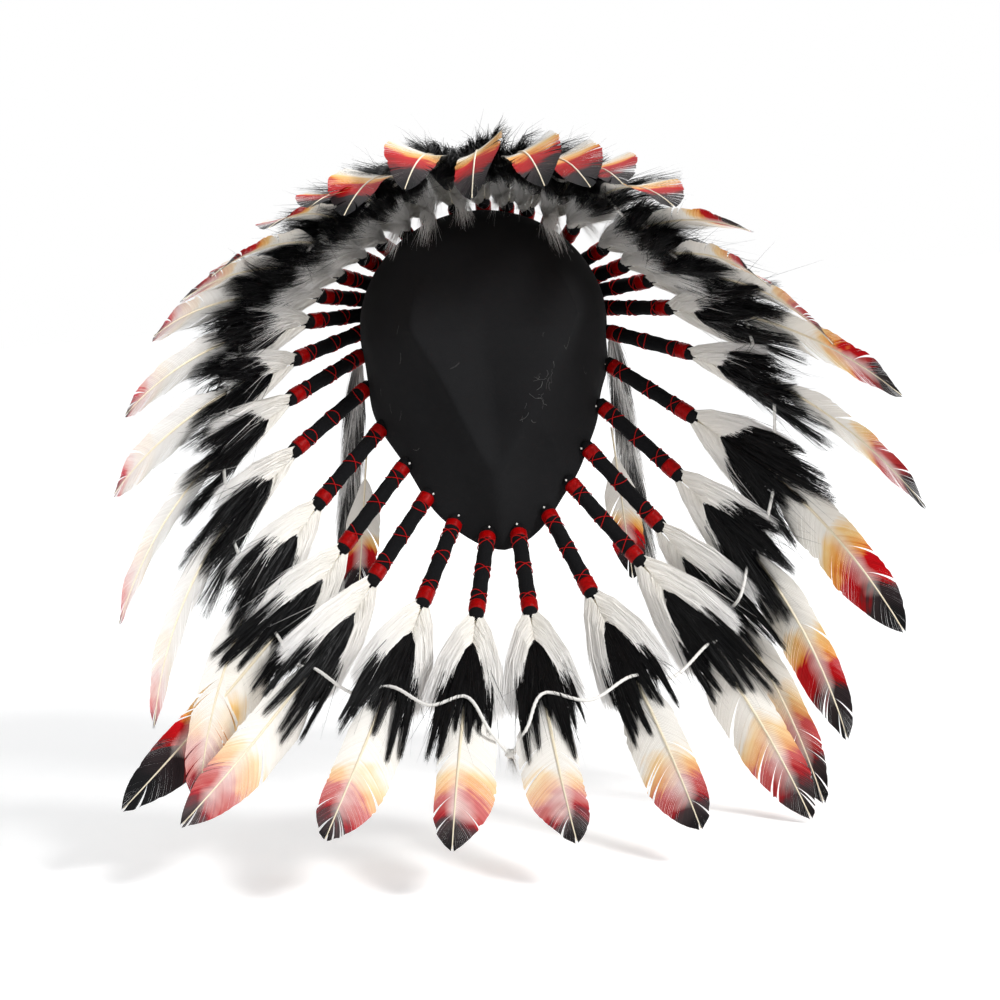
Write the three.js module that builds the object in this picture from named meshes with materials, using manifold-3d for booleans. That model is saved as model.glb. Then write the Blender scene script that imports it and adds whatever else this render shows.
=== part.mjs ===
// Feathered headdress: a black cloth cap with a brow band, a ring of wrapped feathers with fur tufts,
// a cord laced over the tufts and knotted at the nape, and a hanging drop at each temple.
// Millimetres, +Z up. The origin is the inside top of the crown, where the wearer's head seats.
// The wearer looks along +Y, so the back of the headdress faces -Y. The left side is -X seen from behind.
import * as THREE from "three";
import { mergeVertices } from "three/addons/utils/BufferGeometryUtils.js";
import Module from "manifold-3d";

const wasm = await Module();
wasm.setup();

// Cap: a cloth crown that reaches from the hairline down to the nape
const capHalfWidth = 91; // outside, at the temples
const capHalfLength = 100; // outside, half of front to back
const crownHeight = 87; // from the top down to the widest level
const crownLead = 18; // how far the top lies ahead of the widest level's middle
const capSquareness = 2.5; // exponent of the plan outline
const napeTaper = 0.15; // share by which the nape is narrower than the widest level
const napeTaperDepth = 120; // depth below the widest level where that share is reached
const capWall = 2.4;
const hemMargin = 8; // cloth below the line where the feathers are sewn
const hemPoint = 5; // extra drop of the hem's point at the middle of the nape
const hemPointTurn = 22; // half width of that point, in degrees round the cap
const capColumns = 30, capRows = 7; // flat steps round the cap and down it

// Line where the feathers are sewn, as depths below the top of the crown
const browDepth = 38;
const sideFall = 117;
const napeFall = 73;
const napeSteepness = 3.7;

// Fold of slack cloth down the back of the cap
const foldHeight = 7;
const foldTopDepth = 70;
const foldWideDepth = 112;
const foldTipDepth = 205;
const foldWideTurn = 38; // half width in degrees at its widest
const foldTipTurn = 12; // half width in degrees from its tip down to the hem

// Brow band, round the front of the cap
const bandWall = 2.6;
const bandAbove = 11; // above the sewing line
const bandBelow = 15; // below the sewing line
const bandStartTurn = 101; // degrees from the nape where each end of the band lies
const bandSteps = 12; // flat steps round the front

// Feathers
const sleeveLength = 84;
const sleeveRadius = 5.6;
const plumeLength = 236; // from the sleeve's end to the tip of a full feather
const vaneStart = 96; // from the sleeve's end, where the black tuft ends
const vaneLead = 14; // width of the vane on the side towards the brow
const vaneTrail = 27; // width of the vane on the side towards the nape
const vaneWall = 1.3;
const vaneCamber = 3.2; // how far the edges lie below the shaft

// Fur tufts: a white one at the sleeve's end and a black one under it
const whiteTuftLength = 62;
const whiteTuftWidth = 34;
const whiteTuftThickness = 15;
const blackTuftStart = 40; // from the sleeve's end
const blackTuftLength = 56;
const blackTuftWidth = 36;
const blackTuftThickness = 13;
const lockRadius = 5;
const lockLength = 42; // of the locks that hang out of a tuft on both sides
const lockFlare = 1.5; // how much further out a lock's tip lies than its root
const lockTip = 0.15; // share of the radius at its tip

// Lacing cord that links the feathers over their black tufts and is tied at the nape
const laceRadius = 1.1;
const laceSides = 8;
const laceSag = 0.1; // share of the way between two feathers
const knotDrop = 30; // below the lacing of the two feathers at the nape
const knotRadius = 3.4;
const tasselLength = 15;
const tasselRadius = 2.3;

// Drops at the temples: a fur strip, a small feather and a red cord
const dropTurn = 103; // degrees from the nape
const dropBelowSeam = 13;
const stripLength = 200;
const stripRadius = 8.5;
const dropFeatherTop = 72; // below the strip's top
const dropFeatherLength = 118;
const dropFeatherWidth = 26;
const dropFeatherInset = 11; // from the strip's middle towards the head
const dropCordTop = 6; // below the strip's top
const dropCordLength = 112;
const dropCordRadius = 1.5;
const dropCordSteps = 4; // straight steps along it

const gap = 0.35; // left between pieces that touch
const black = 0x17171a, red = 0xa80d10, white = 0xece8e2, cream = 0xefe6d6;

const radians = THREE.MathUtils.degToRad;
const clamp = THREE.MathUtils.clamp;
const lerp = THREE.MathUtils.lerp;

// One row for each feather on a side, from the nape (1) to the brow (16).
// turn: degrees round the sewing line from the nape.
// aim: direction seen from behind, in degrees from straight down towards the feather's own side.
// lean: degrees towards the back. tipAim and tipLean: the same at the tip.
// roll: degrees by which the vane turns about its shaft.
// bulk: share of the full tuft. reach: share of the full plume.
const leftFeathers = [
  { turn: 5, aim: 15, lean: 49, tipAim: 9, tipLean: 61, roll: -2, bulk: 1, reach: 0.86 },
  { turn: 20, aim: 29, lean: 43, tipAim: 32, tipLean: 58, roll: -6, bulk: 1, reach: 0.88 },
  { turn: 34, aim: 40, lean: 28, tipAim: 52, tipLean: 42, roll: -25, bulk: 1, reach: 0.93 },
  { turn: 47, aim: 43, lean: 24, tipAim: 50, tipLean: 22, roll: -20, bulk: 1, reach: 0.98 },
  { turn: 62, aim: 46, lean: 26, tipAim: 5, tipLean: 26, roll: -25, bulk: 1, reach: 0.98 },
  { turn: 78, aim: 55, lean: 31, tipAim: 6, tipLean: 32, roll: -52, bulk: 1, reach: 0.98 },
  { turn: 93, aim: 65, lean: 42, tipAim: 18, tipLean: 38, roll: -52, bulk: 1, reach: 0.98 },
  { turn: 107, aim: 74, lean: 47, tipAim: 34, tipLean: 60, roll: -42, bulk: 1, reach: 0.95 },
  { turn: 118, aim: 90, lean: 53, tipAim: 40, tipLean: 58, roll: -38, bulk: 0.9, reach: 0.94 },
  { turn: 127, aim: 102, lean: 54, tipAim: 46, tipLean: 68, roll: -38, bulk: 0.85, reach: 0.92 },
  { turn: 136, aim: 112, lean: 58, tipAim: 50, tipLean: 66, roll: -38, bulk: 0.8, reach: 0.92 },
  { turn: 145, aim: 124, lean: 61, tipAim: 50, tipLean: 60, roll: -38, bulk: 0.75, reach: 0.92 },
  { turn: 153, aim: 134, lean: 61, tipAim: 44, tipLean: 72, roll: -36, bulk: 0.7, reach: 0.9 },
  { turn: 161, aim: 147, lean: 62, tipAim: 40, tipLean: 70, roll: -34, bulk: 0.7, reach: 0.9 },
  { turn: 169, aim: 160, lean: 59, tipAim: 26, tipLean: 56, roll: -32, bulk: 0.7, reach: 0.9 },
  { turn: 177, aim: 173, lean: 57, tipAim: 20, tipLean: 58, roll: -30, bulk: 0.7, reach: 0.92 },
];
const rightFeathers = [
  { turn: 5, aim: 3, lean: 49, tipAim: 12, tipLean: 62, roll: -2, bulk: 1, reach: 0.86 },
  { turn: 20, aim: 24, lean: 40, tipAim: 15, tipLean: 58, roll: -6, bulk: 1, reach: 0.88 },
  { turn: 34, aim: 37, lean: 22, tipAim: 18, tipLean: 38, roll: -10, bulk: 1, reach: 0.91 },
  { turn: 47, aim: 38, lean: 16, tipAim: 10, tipLean: 28, roll: -35, bulk: 1, reach: 0.94 },
  { turn: 62, aim: 43, lean: 22, tipAim: 9, tipLean: 26, roll: -30, bulk: 1, reach: 0.93 },
  { turn: 78, aim: 53, lean: 28, tipAim: 22, tipLean: 34, roll: -16, bulk: 1, reach: 0.93 },
  { turn: 93, aim: 71, lean: 41, tipAim: 29, tipLean: 40, roll: -50, bulk: 1, reach: 0.97 },
  { turn: 107, aim: 86, lean: 51, tipAim: 41, tipLean: 46, roll: -38, bulk: 1, reach: 0.97 },
  { turn: 118, aim: 98, lean: 56, tipAim: 29, tipLean: 54, roll: -42, bulk: 0.9, reach: 0.95 },
  { turn: 127, aim: 107, lean: 62, tipAim: 32, tipLean: 68, roll: -38, bulk: 0.85, reach: 0.94 },
  { turn: 136, aim: 120, lean: 63, tipAim: 56, tipLean: 66, roll: -38, bulk: 0.8, reach: 0.93 },
  { turn: 145, aim: 144, lean: 63, tipAim: 32, tipLean: 66, roll: -38, bulk: 0.75, reach: 0.93 },
  { turn: 153, aim: 156, lean: 62, tipAim: 26, tipLean: 68, roll: -36, bulk: 0.7, reach: 0.92 },
  { turn: 161, aim: 166, lean: 60, tipAim: 22, tipLean: 60, roll: -34, bulk: 0.7, reach: 0.92 },
  { turn: 169, aim: 172, lean: 58, tipAim: 12, tipLean: 58, roll: -32, bulk: 0.7, reach: 0.92 },
  { turn: 177, aim: 178, lean: 56, tipAim: -8, tipLean: 52, roll: -30, bulk: 0.7, reach: 0.92 },
];

// Outlines along a feather. Tufts: shares of the tuft's length, width and thickness.
// Vane: shares of its length and of its two widths.
const whiteSections = [
  { along: 0.02, wide: 0.4, thick: 0.8 },
  { along: 0.5, wide: 1, thick: 1 },
];
const blackSections = [
  { along: 0.15, wide: 0.85, thick: 0.9 },
  { along: 0.6, wide: 1, thick: 1 },
];
const vaneSections = [
  { along: 0, lead: 0.75, trail: 0.75 },
  { along: 0.45, lead: 1, trail: 1 },
  { along: 0.85, lead: 0.8, trail: 0.75 },
  { along: 1, lead: 0.16, trail: 0.14 },
];

// Drops: how far each leans outwards from straight down, in degrees.
const dropRows = [
  { word: "left", side: -1, lean: 9 },
  { word: "right", side: 1, lean: 3 },
];
const stripSections = [
  { along: 0, thick: 0.5 },
  { along: 0.12, thick: 1 },
  { along: 0.45, thick: 0.9 },
  { along: 0.8, thick: 1 },
  { along: 1, thick: 0.25 },
];
const dropVaneSections = [
  { along: 0, wide: 0.1 },
  { along: 0.12, wide: 0.1 },
  { along: 0.3, wide: 0.9 },
  { along: 0.75, wide: 1 },
  { along: 1, wide: 0.1 },
];

// Closed mesh from rings of equal count, each a list of points, with a flat cap on each end.
function loft(rings) {
  const count = rings[0].length;
  const positions = rings.flat().flatMap((p) => [p.x, p.y, p.z]);
  const faces = [];
  for (let r = 0; r < rings.length - 1; r += 1) {
    for (let i = 0; i < count; i += 1) {
      const j = (i + 1) % count;
      const a = r * count + i, b = r * count + j, c = a + count, d = b + count;
      faces.push(a, b, d, a, d, c);
    }
  }
  const last = (rings.length - 1) * count;
  for (let i = 1; i < count - 1; i += 1) {
    faces.push(0, i + 1, i);
    faces.push(last, last + i, last + i + 1);
  }
  const geometry = new THREE.BufferGeometry();
  geometry.setAttribute("position", new THREE.Float32BufferAttribute(positions, 3));
  geometry.setIndex(faces);
  return geometry;
}

function solidOf(geometry) {
  const merged = mergeVertices(geometry, 1e-4);
  const made = (turned) => {
    const triVerts = new Uint32Array(merged.index.array);
    for (let i = 0; turned && i < triVerts.length; i += 3) {
      [triVerts[i + 1], triVerts[i + 2]] = [triVerts[i + 2], triVerts[i + 1]];
    }
    const vertProperties = merged.attributes.position.array;
    return new wasm.Manifold(new wasm.Mesh({ numProp: 3, vertProperties, triVerts }));
  };
  const solid = made(false);
  return solid.volume() < 0 ? made(true) : solid;
}

function geometryOf(solid) {
  const mesh = solid.getMesh();
  const geometry = new THREE.BufferGeometry();
  geometry.setAttribute("position", new THREE.BufferAttribute(new Float32Array(mesh.vertProperties), 3));
  geometry.setIndex(new THREE.BufferAttribute(new Uint32Array(mesh.triVerts), 1));
  return geometry;
}

function joined(solids) {
  return solids.reduce((whole, part) => whole.add(part));
}

function named(name, solid, color, roughness) {
  const material = new THREE.MeshStandardMaterial({ color, roughness, metalness: 0 });
  const mesh = new THREE.Mesh(geometryOf(solid), material);
  mesh.name = name;
  return mesh;
}

// Depth of the sewing line below the crown, at a turn in degrees from the nape.
function seamDepth(turn) {
  const nearNape = (1 + Math.cos(radians(turn))) / 2;
  return browDepth + sideFall * nearNape + napeFall * nearNape ** napeSteepness;
}

function hemDepth(turn) {
  const fromNape = Math.min(Math.abs(turn), 360 - Math.abs(turn));
  const point = hemPoint * clamp(1 - fromNape / hemPointTurn, 0, 1);
  return seamDepth(turn) + hemMargin + point;
}

// The fold's height at a place on the cap: a tent that widens and then closes to a ridge at the nape.
function foldAt(turn, depth) {
  const fromNape = Math.min(Math.abs(turn), 360 - Math.abs(turn));
  const opening = clamp((depth - foldTopDepth) / (foldWideDepth - foldTopDepth), 0, 1);
  const closing = clamp((depth - foldWideDepth) / (foldTipDepth - foldWideDepth), 0, 1);
  const halfTurn = lerp(foldWideTurn, foldTipTurn, closing);
  return foldHeight * opening * clamp(1 - fromNape / halfTurn, 0, 1);
}

// A point of the cap's outer cloth, grown outwards by offset.
function capPoint(turn, depth, offset = 0) {
  const a = radians(turn);
  const above = clamp((crownHeight - depth) / crownHeight, 0, 1);
  const below = Math.max(0, depth - crownHeight) / napeTaperDepth;
  const reach = depth < crownHeight ? Math.sqrt(1 - above ** 2) : 1 - napeTaper * below ** 1.3;
  const grown = reach + offset / capHalfWidth;
  const power = 2 / capSquareness;
  const across = Math.sign(Math.sin(a)) * Math.abs(Math.sin(a)) ** power;
  const along = -Math.sign(Math.cos(a)) * Math.abs(Math.cos(a)) ** power;
  const middle = -crownLead * (1 - above);
  return new THREE.Vector3(
    capHalfWidth * grown * across,
    middle + (capHalfLength + foldAt(turn, depth)) * grown * along,
    capWall - depth + (depth < crownHeight ? offset * above : 0),
  );
}

// Steps down the cap: even steps of arc on the crown, then down the nape.
function depthAt(step, bottom) {
  const arcOf = (depth) =>
    depth < crownHeight ? Math.acos(1 - depth / crownHeight) : Math.PI / 2 + depth / crownHeight - 1;
  const arc = step * arcOf(bottom);
  return arc < Math.PI / 2 ? crownHeight * (1 - Math.cos(arc)) : crownHeight * (1 + arc - Math.PI / 2);
}

// Grid of the cap's cloth between two offsets, closed along the hem.
function capShell(outer, inner) {
  const positions = [], faces = [];
  const push = (p) => positions.push(p.x, p.y, p.z) / 3 - 1;
  const sheet = (offset) => {
    const top = push(new THREE.Vector3(0, 0, capWall + offset));
    const rows = [];
    for (let r = 1; r <= capRows; r += 1) {
      const row = [];
      for (let c = 0; c < capColumns; c += 1) {
        const turn = (360 * c) / capColumns;
        row.push(push(capPoint(turn, depthAt(r / capRows, hemDepth(turn)), offset)));
      }
      rows.push(row);
    }
    return { top, rows };
  };
  const face = (flip, a, b, c) => (flip ? faces.push(a, c, b) : faces.push(a, b, c));
  const skin = ({ top, rows }, flip) => {
    for (let c = 0; c < capColumns; c += 1) {
      const d = (c + 1) % capColumns;
      face(flip, top, rows[0][c], rows[0][d]);
      for (let r = 0; r < capRows - 1; r += 1) {
        face(flip, rows[r][c], rows[r + 1][c], rows[r + 1][d]);
        face(flip, rows[r][c], rows[r + 1][d], rows[r][d]);
      }
    }
  };
  const outside = sheet(outer);
  skin(outside, false);
  if (inner === null) {
    const bottom = outside.rows[capRows - 1];
    const middle = push(new THREE.Vector3(0, -crownLead, capWall - hemDepth(0)));
    for (let c = 0; c < capColumns; c += 1) {
      face(false, bottom[c], middle, bottom[(c + 1) % capColumns]);
    }
  } else {
    const inside = sheet(inner);
    skin(inside, true);
    const a = outside.rows[capRows - 1], b = inside.rows[capRows - 1];
    for (let c = 0; c < capColumns; c += 1) {
      const d = (c + 1) % capColumns;
      face(false, a[c], b[c], b[d]);
      face(false, a[c], b[d], a[d]);
    }
  }
  const geometry = new THREE.BufferGeometry();
  geometry.setAttribute("position", new THREE.Float32BufferAttribute(positions, 3));
  geometry.setIndex(faces);
  return geometry;
}

// Brow band: a strip bent round the front of the cap, closed at both ends and grown by a clearance.
function browBand(grown) {
  const turns = Array.from({ length: bandSteps + 1 }, (_, i) =>
    lerp(bandStartTurn, 360 - bandStartTurn, i / bandSteps));
  if (grown > 0) {
    const spare = THREE.MathUtils.radToDeg(grown / capHalfWidth);
    turns.unshift(bandStartTurn - spare);
    turns.push(360 - bandStartTurn + spare);
  }
  return loft(turns.map((turn) => {
    const top = seamDepth(turn) - bandAbove - grown, bottom = seamDepth(turn) + bandBelow + grown;
    const middle = seamDepth(turn) + (bandBelow - bandAbove) / 2;
    const low = -grown, high = gap + bandWall + grown;
    return [
      capPoint(turn, middle, low), capPoint(turn, bottom, low), capPoint(turn, bottom, high),
      capPoint(turn, middle, high), capPoint(turn, top, high), capPoint(turn, top, low),
    ];
  }));
}

// The line that a feather follows: straight through its sleeve, then an arc to its tip direction.
function featherLine(side, row, start) {
  const direction = (aim, lean) => {
    const a = radians(aim), l = radians(lean);
    return new THREE.Vector3(side * Math.sin(a) * Math.cos(l), -Math.sin(l), -Math.cos(a) * Math.cos(l));
  };
  const first = direction(row.aim, row.lean);
  const last = direction(row.tipAim, row.tipLean);
  const bend = first.angleTo(last);
  const towards = last.clone().addScaledVector(first, -first.dot(last)).normalize();
  const axis = first.clone().cross(towards).normalize();
  const aim = radians(row.aim), lean = radians(row.lean), roll = radians(row.roll);
  const ring = new THREE.Vector3(side * Math.cos(aim), 0, Math.sin(aim));
  const away = new THREE.Vector3(
    side * Math.sin(aim) * Math.sin(lean), Math.cos(lean), -Math.cos(aim) * Math.sin(lean),
  );
  const width = ring.multiplyScalar(Math.cos(roll)).addScaledVector(away, Math.sin(roll));
  const elbow = start.clone().addScaledVector(first, sleeveLength);
  const plume = plumeLength * row.reach;
  return (distance) => {
    const past = Math.max(0, distance - sleeveLength);
    const angle = (bend * past) / plume;
    const point = distance <= sleeveLength
      ? start.clone().addScaledVector(first, distance)
      : elbow.clone()
        .addScaledVector(first, (plume / bend) * Math.sin(angle))
        .addScaledVector(towards, (plume / bend) * (1 - Math.cos(angle)));
    const across = width.clone().applyAxisAngle(axis, angle);
    const forward = first.clone().applyAxisAngle(axis, angle);
    return { point, across, forward, normal: forward.clone().cross(across).multiplyScalar(side) };
  };
}

function placed(frame, across, normal) {
  return frame.point.clone().addScaledVector(frame.across, across).addScaledVector(frame.normal, normal);
}

function roundRing(frame, radius, sides) {
  return Array.from({ length: sides }, (_, i) => {
    const a = (2 * Math.PI * (i + 0.5)) / sides;
    return placed(frame, radius * Math.cos(a), radius * Math.sin(a));
  });
}

// A six-point ring across a feather: wide to each side, thick in the middle and at its edges.
function bladeRing(frame, front, back, middleThick, edgeThick, drop) {
  return [
    placed(frame, front, edgeThick / 2 - drop.front), placed(frame, 0, middleThick / 2),
    placed(frame, -back, edgeThick / 2 - drop.back), placed(frame, -back, -edgeThick / 2 - drop.back),
    placed(frame, 0, -middleThick / 2), placed(frame, front, -edgeThick / 2 - drop.front),
  ];
}

// The sleeve, the tufts and the vane as one form, grown on all sides by a clearance.
function blade({ line, row }, grown) {
  const flat = { front: 0, back: 0 };
  const round = (distance, radius) => {
    const reach = radius + grown, side = reach * Math.cos(Math.PI / 6);
    return bladeRing(line(distance), side, side, 2 * reach, reach, flat);
  };
  const soft = (distance, width, thickness) => {
    const half = (width * row.bulk) / 2 + grown, deep = thickness * row.bulk + 2 * grown;
    return bladeRing(line(sleeveLength + distance), half, half, deep, deep / 2, flat);
  };
  const vaneLength = plumeLength * row.reach - vaneStart;
  return loft([
    round(-sleeveRadius, sleeveRadius),
    round(sleeveLength - grown, sleeveRadius),
    ...whiteSections.map(({ along, wide, thick }) =>
      soft(along * whiteTuftLength, wide * whiteTuftWidth, thick * whiteTuftThickness)),
    ...blackSections.map(({ along, wide, thick }) =>
      soft(blackTuftStart + along * blackTuftLength, wide * blackTuftWidth, thick * blackTuftThickness)),
    ...vaneSections.map(({ along, lead, trail }) => {
      const frame = line(sleeveLength + vaneStart + along * vaneLength);
      const drop = { front: vaneCamber * lead ** 2, back: vaneCamber * trail ** 2 };
      const wall = vaneWall + 2 * grown;
      return bladeRing(frame, vaneLead * lead + grown, vaneTrail * trail + grown, wall, wall, drop);
    }),
  ]);
}

// A lock of fur that hangs out of a tuft's side: a three-sided spike.
function lock({ line, row }, from, width, side, grown) {
  const out = side * row.bulk * (width / 2 - lockRadius);
  const ring = (distance, sideways, radius) => {
    const frame = line(sleeveLength + distance);
    return roundRing({ ...frame, point: placed(frame, sideways, 0) }, radius + grown, 3);
  };
  return loft([
    ring(from, out, lockRadius * row.bulk),
    ring(from + lockLength, out * lockFlare, lockRadius * lockTip),
  ]);
}

function featherForm(feather, grown) {
  const whiteFrom = whiteTuftLength * whiteSections[1].along;
  const blackFrom = blackTuftStart + blackTuftLength * blackSections[1].along;
  return joined([
    solidOf(blade(feather, grown)),
    ...[1, -1].flatMap((side) => [
      solidOf(lock(feather, whiteFrom, whiteTuftWidth, side, grown)),
      solidOf(lock(feather, blackFrom, blackTuftWidth, side, grown)),
    ]),
  ]);
}

function largest(solid) {
  return solid.decompose().reduce((most, piece) => (piece.volume() > most.volume() ? piece : most));
}

// A curve that is stepped from one of its own points to the next.
class PointwiseCurve extends THREE.CatmullRomCurve3 {
  getPointAt(u, target) {
    return this.getPoint(u, target);
  }

  getTangentAt(u, target) {
    return this.getTangent(u, target);
  }
}

function tube(points, radius, sides) {
  const outline = new THREE.Shape(Array.from({ length: sides }, (_, i) => {
    const a = (2 * Math.PI * i) / sides;
    return new THREE.Vector2(radius * Math.cos(a), radius * Math.sin(a));
  }));
  const extrudePath = new PointwiseCurve(points);
  const geometry = new THREE.ExtrudeGeometry(outline, { steps: points.length - 1, extrudePath });
  geometry.deleteAttribute("normal");
  geometry.deleteAttribute("uv");
  return geometry;
}

// A round solid of a few rings round a straight line.
function turned(from, direction, stations, sides) {
  const forward = direction.clone().normalize();
  const across = new THREE.Vector3(0, 1, 0).cross(forward).normalize();
  const normal = forward.clone().cross(across);
  return loft(stations.map(([distance, radius]) => {
    const point = from.clone().addScaledVector(forward, distance);
    return roundRing({ point, across, normal }, radius, sides);
  }));
}

// Feathers in order round the ring, from the left of the nape over the brow to the right of the nape.
const numbered = (rows, side, word) => rows.map((row, i) =>
  ({ row, side, name: `feather_${word}_${String(i + 1).padStart(2, "0")}` }));
const feathers = [...numbered(leftFeathers, -1, "left"), ...numbered(rightFeathers, 1, "right").reverse()];
for (const feather of feathers) {
  const { side, row } = feather;
  feather.line = featherLine(side, row, capPoint(side * row.turn, seamDepth(row.turn), gap));
}

// Lacing cord: over each black tuft in turn, sagging between two feathers, with both ends in the knot.
const laceAt = blackTuftStart + blackTuftLength * blackSections[1].along;
const lacePoints = feathers.map(({ line, row }) => {
  const over = (blackTuftThickness * row.bulk) / 2 + gap + laceRadius;
  return placed(line(sleeveLength + laceAt), 0, over);
});
const knot = lacePoints[0].clone().add(lacePoints[lacePoints.length - 1]).multiplyScalar(0.5);
knot.z -= knotDrop;
const knotSide = new THREE.Vector3(laceRadius + gap, 0, 0);

function sagged(a, b) {
  const middle = a.clone().add(b).multiplyScalar(0.5);
  middle.z -= a.distanceTo(b) * laceSag;
  return middle;
}

const laceRoute = [knot.clone().sub(knotSide)];
lacePoints.forEach((point, i) => {
  if (i > 0) {
    laceRoute.push(sagged(lacePoints[i - 1], point));
  }
  laceRoute.push(point);
});
laceRoute.push(knot.clone().add(knotSide));

function lacingCord() {
  const ball = [[-knotRadius, 0.4], [-0.5 * knotRadius, 0.87], [0.5 * knotRadius, 0.87], [knotRadius, 0.4]];
  const down = new THREE.Vector3(0.3, -0.1, -1);
  const tassel = [[0, 0.5], [0.45, 0.75], [1, 1]];
  return joined([
    solidOf(tube(laceRoute, laceRadius, laceSides)),
    solidOf(turned(knot, down, ball.map(([at, share]) => [at, share * knotRadius]), laceSides)),
    solidOf(turned(knot, down, tassel.map(([at, share]) => [
      knotRadius / 2 + at * tasselLength, share * tasselRadius,
    ]), laceSides)),
  ]);
}

// Drops at the temples
function drops(side, lean) {
  const turn = side * dropTurn;
  const depth = seamDepth(dropTurn) + dropBelowSeam;
  const down = new THREE.Vector3(side * Math.sin(radians(lean)), 0, -Math.cos(radians(lean)));
  const standOff = bandWall + gap + stripRadius * stripSections[0].thick;
  const top = capPoint(turn, depth, standOff);
  const across = new THREE.Vector3(side, 0, 0), normal = new THREE.Vector3(0, -1, 0);
  const at = (distance, sideways, back) => top.clone()
    .addScaledVector(down, distance).addScaledVector(across, sideways).addScaledVector(normal, back);
  const frame = (distance, sideways, back) => ({ point: at(distance, sideways, back), across, normal });
  const strip = loft(stripSections.map(({ along, thick }) =>
    roundRing(frame(along * stripLength, 0, 0), stripRadius * thick, 6)));
  const behind = stripRadius + gap + vaneWall / 2;
  const feather = loft(dropVaneSections.map(({ along, wide }) => {
    const here = frame(dropFeatherTop + along * dropFeatherLength, -dropFeatherInset, behind);
    const half = (dropFeatherWidth * wide) / 2;
    return [
      placed(here, half, vaneWall / 2), placed(here, -half, vaneWall / 2),
      placed(here, -half, -vaneWall / 2), placed(here, half, -vaneWall / 2),
    ];
  }));
  const ahead = -(stripRadius + gap + dropCordRadius);
  const cord = tube(Array.from({ length: dropCordSteps + 1 }, (_, i) =>
    at(dropCordTop + (dropCordLength * i) / dropCordSteps, 0, ahead)), dropCordRadius, laceSides);
  return { strip, feather, cord };
}

const headdress = new THREE.Group();
headdress.add(named("cap_crown", solidOf(capShell(0, -capWall)), black, 0.95));
headdress.add(named("brow_band", solidOf(browBand(0)).subtract(solidOf(capShell(gap, null))), black, 0.9));
headdress.add(named("lacing_cord", lacingCord(), white, 0.8));

// What the feathers clear: the cap with its band, and a square channel along the lacing cord.
const cut = solidOf(capShell(gap, null)).add(solidOf(browBand(2 * gap)))
  .add(solidOf(tube(laceRoute, (laceRadius + gap) * Math.SQRT2, 4)));
feathers.forEach((feather, i) => {
  let solid = featherForm(feather, 0).subtract(cut);
  if (i > 0) {
    solid = solid.subtract(featherForm(feathers[i - 1], gap));
  }
  const colour = feather.side < 0 ? white : cream;
  headdress.add(named(feather.name, largest(solid), colour, 0.6));
});

for (const { word, side, lean } of dropRows) {
  const { strip, feather, cord } = drops(side, lean);
  headdress.add(named(`drop_fur_${word}`, solidOf(strip), white, 0.9));
  headdress.add(named(`drop_feather_${word}`, solidOf(feather), cream, 0.6));
  headdress.add(named(`drop_cord_${word}`, solidOf(cord), red, 0.6));
}

export default headdress;
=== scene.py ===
# Feathered headdress seen from behind: black cloth cap, wrapped feathers with white and black fur,
# white lacing, and a fur drop at each temple. Metres, +Z up, the wearer faces +Y.
import math

import bpy
import numpy as np
from mathutils import Matrix, Vector


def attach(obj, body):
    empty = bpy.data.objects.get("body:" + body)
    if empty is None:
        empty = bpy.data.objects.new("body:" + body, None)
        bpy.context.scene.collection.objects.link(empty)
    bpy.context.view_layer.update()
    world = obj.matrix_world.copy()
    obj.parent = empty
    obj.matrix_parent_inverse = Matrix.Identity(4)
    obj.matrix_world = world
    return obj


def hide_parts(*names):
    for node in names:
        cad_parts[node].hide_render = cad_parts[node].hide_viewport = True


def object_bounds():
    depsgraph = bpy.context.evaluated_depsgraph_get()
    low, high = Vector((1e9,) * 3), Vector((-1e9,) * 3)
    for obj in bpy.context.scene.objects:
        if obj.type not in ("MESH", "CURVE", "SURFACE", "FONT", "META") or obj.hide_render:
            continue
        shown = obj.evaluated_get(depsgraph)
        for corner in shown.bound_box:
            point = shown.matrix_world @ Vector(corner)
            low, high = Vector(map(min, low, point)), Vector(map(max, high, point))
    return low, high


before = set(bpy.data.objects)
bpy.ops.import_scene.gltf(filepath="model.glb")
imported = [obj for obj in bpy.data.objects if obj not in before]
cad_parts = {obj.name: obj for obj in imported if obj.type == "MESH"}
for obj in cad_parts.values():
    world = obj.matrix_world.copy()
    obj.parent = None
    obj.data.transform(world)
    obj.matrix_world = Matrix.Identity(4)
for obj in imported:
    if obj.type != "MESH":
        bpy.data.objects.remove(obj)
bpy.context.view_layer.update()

# Camera
view = {
    "distance": 1.7,  # from the plane of the temples
    "height": -0.214,  # where the view's middle crosses that plane
    "down": 6.0,  # degrees
    "roll": 5.5,  # the worn cap leans to the left
    "lens": 81.6,
}


def addCamera():
    down, roll = math.radians(view["down"]), math.radians(view["roll"])
    forward = Vector((0, math.cos(down), -math.sin(down)))
    level = Vector((1, 0, 0))
    upright = Vector((0, math.sin(down), math.cos(down)))
    right = level * math.cos(roll) - upright * math.sin(roll)
    up = level * math.sin(roll) + upright * math.cos(roll)
    data = bpy.data.cameras.new("camera")
    data.lens = view["lens"]
    camera = bpy.data.objects.new("camera", data)
    bpy.context.scene.collection.objects.link(camera)
    turn = Matrix((right, up, -forward)).transposed().to_4x4()
    place = Vector((0, 0, view["height"])) - forward * view["distance"]
    camera.matrix_world = Matrix.Translation(place) @ turn
    bpy.context.scene.camera = camera


addCamera()
print("camera ready")

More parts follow.
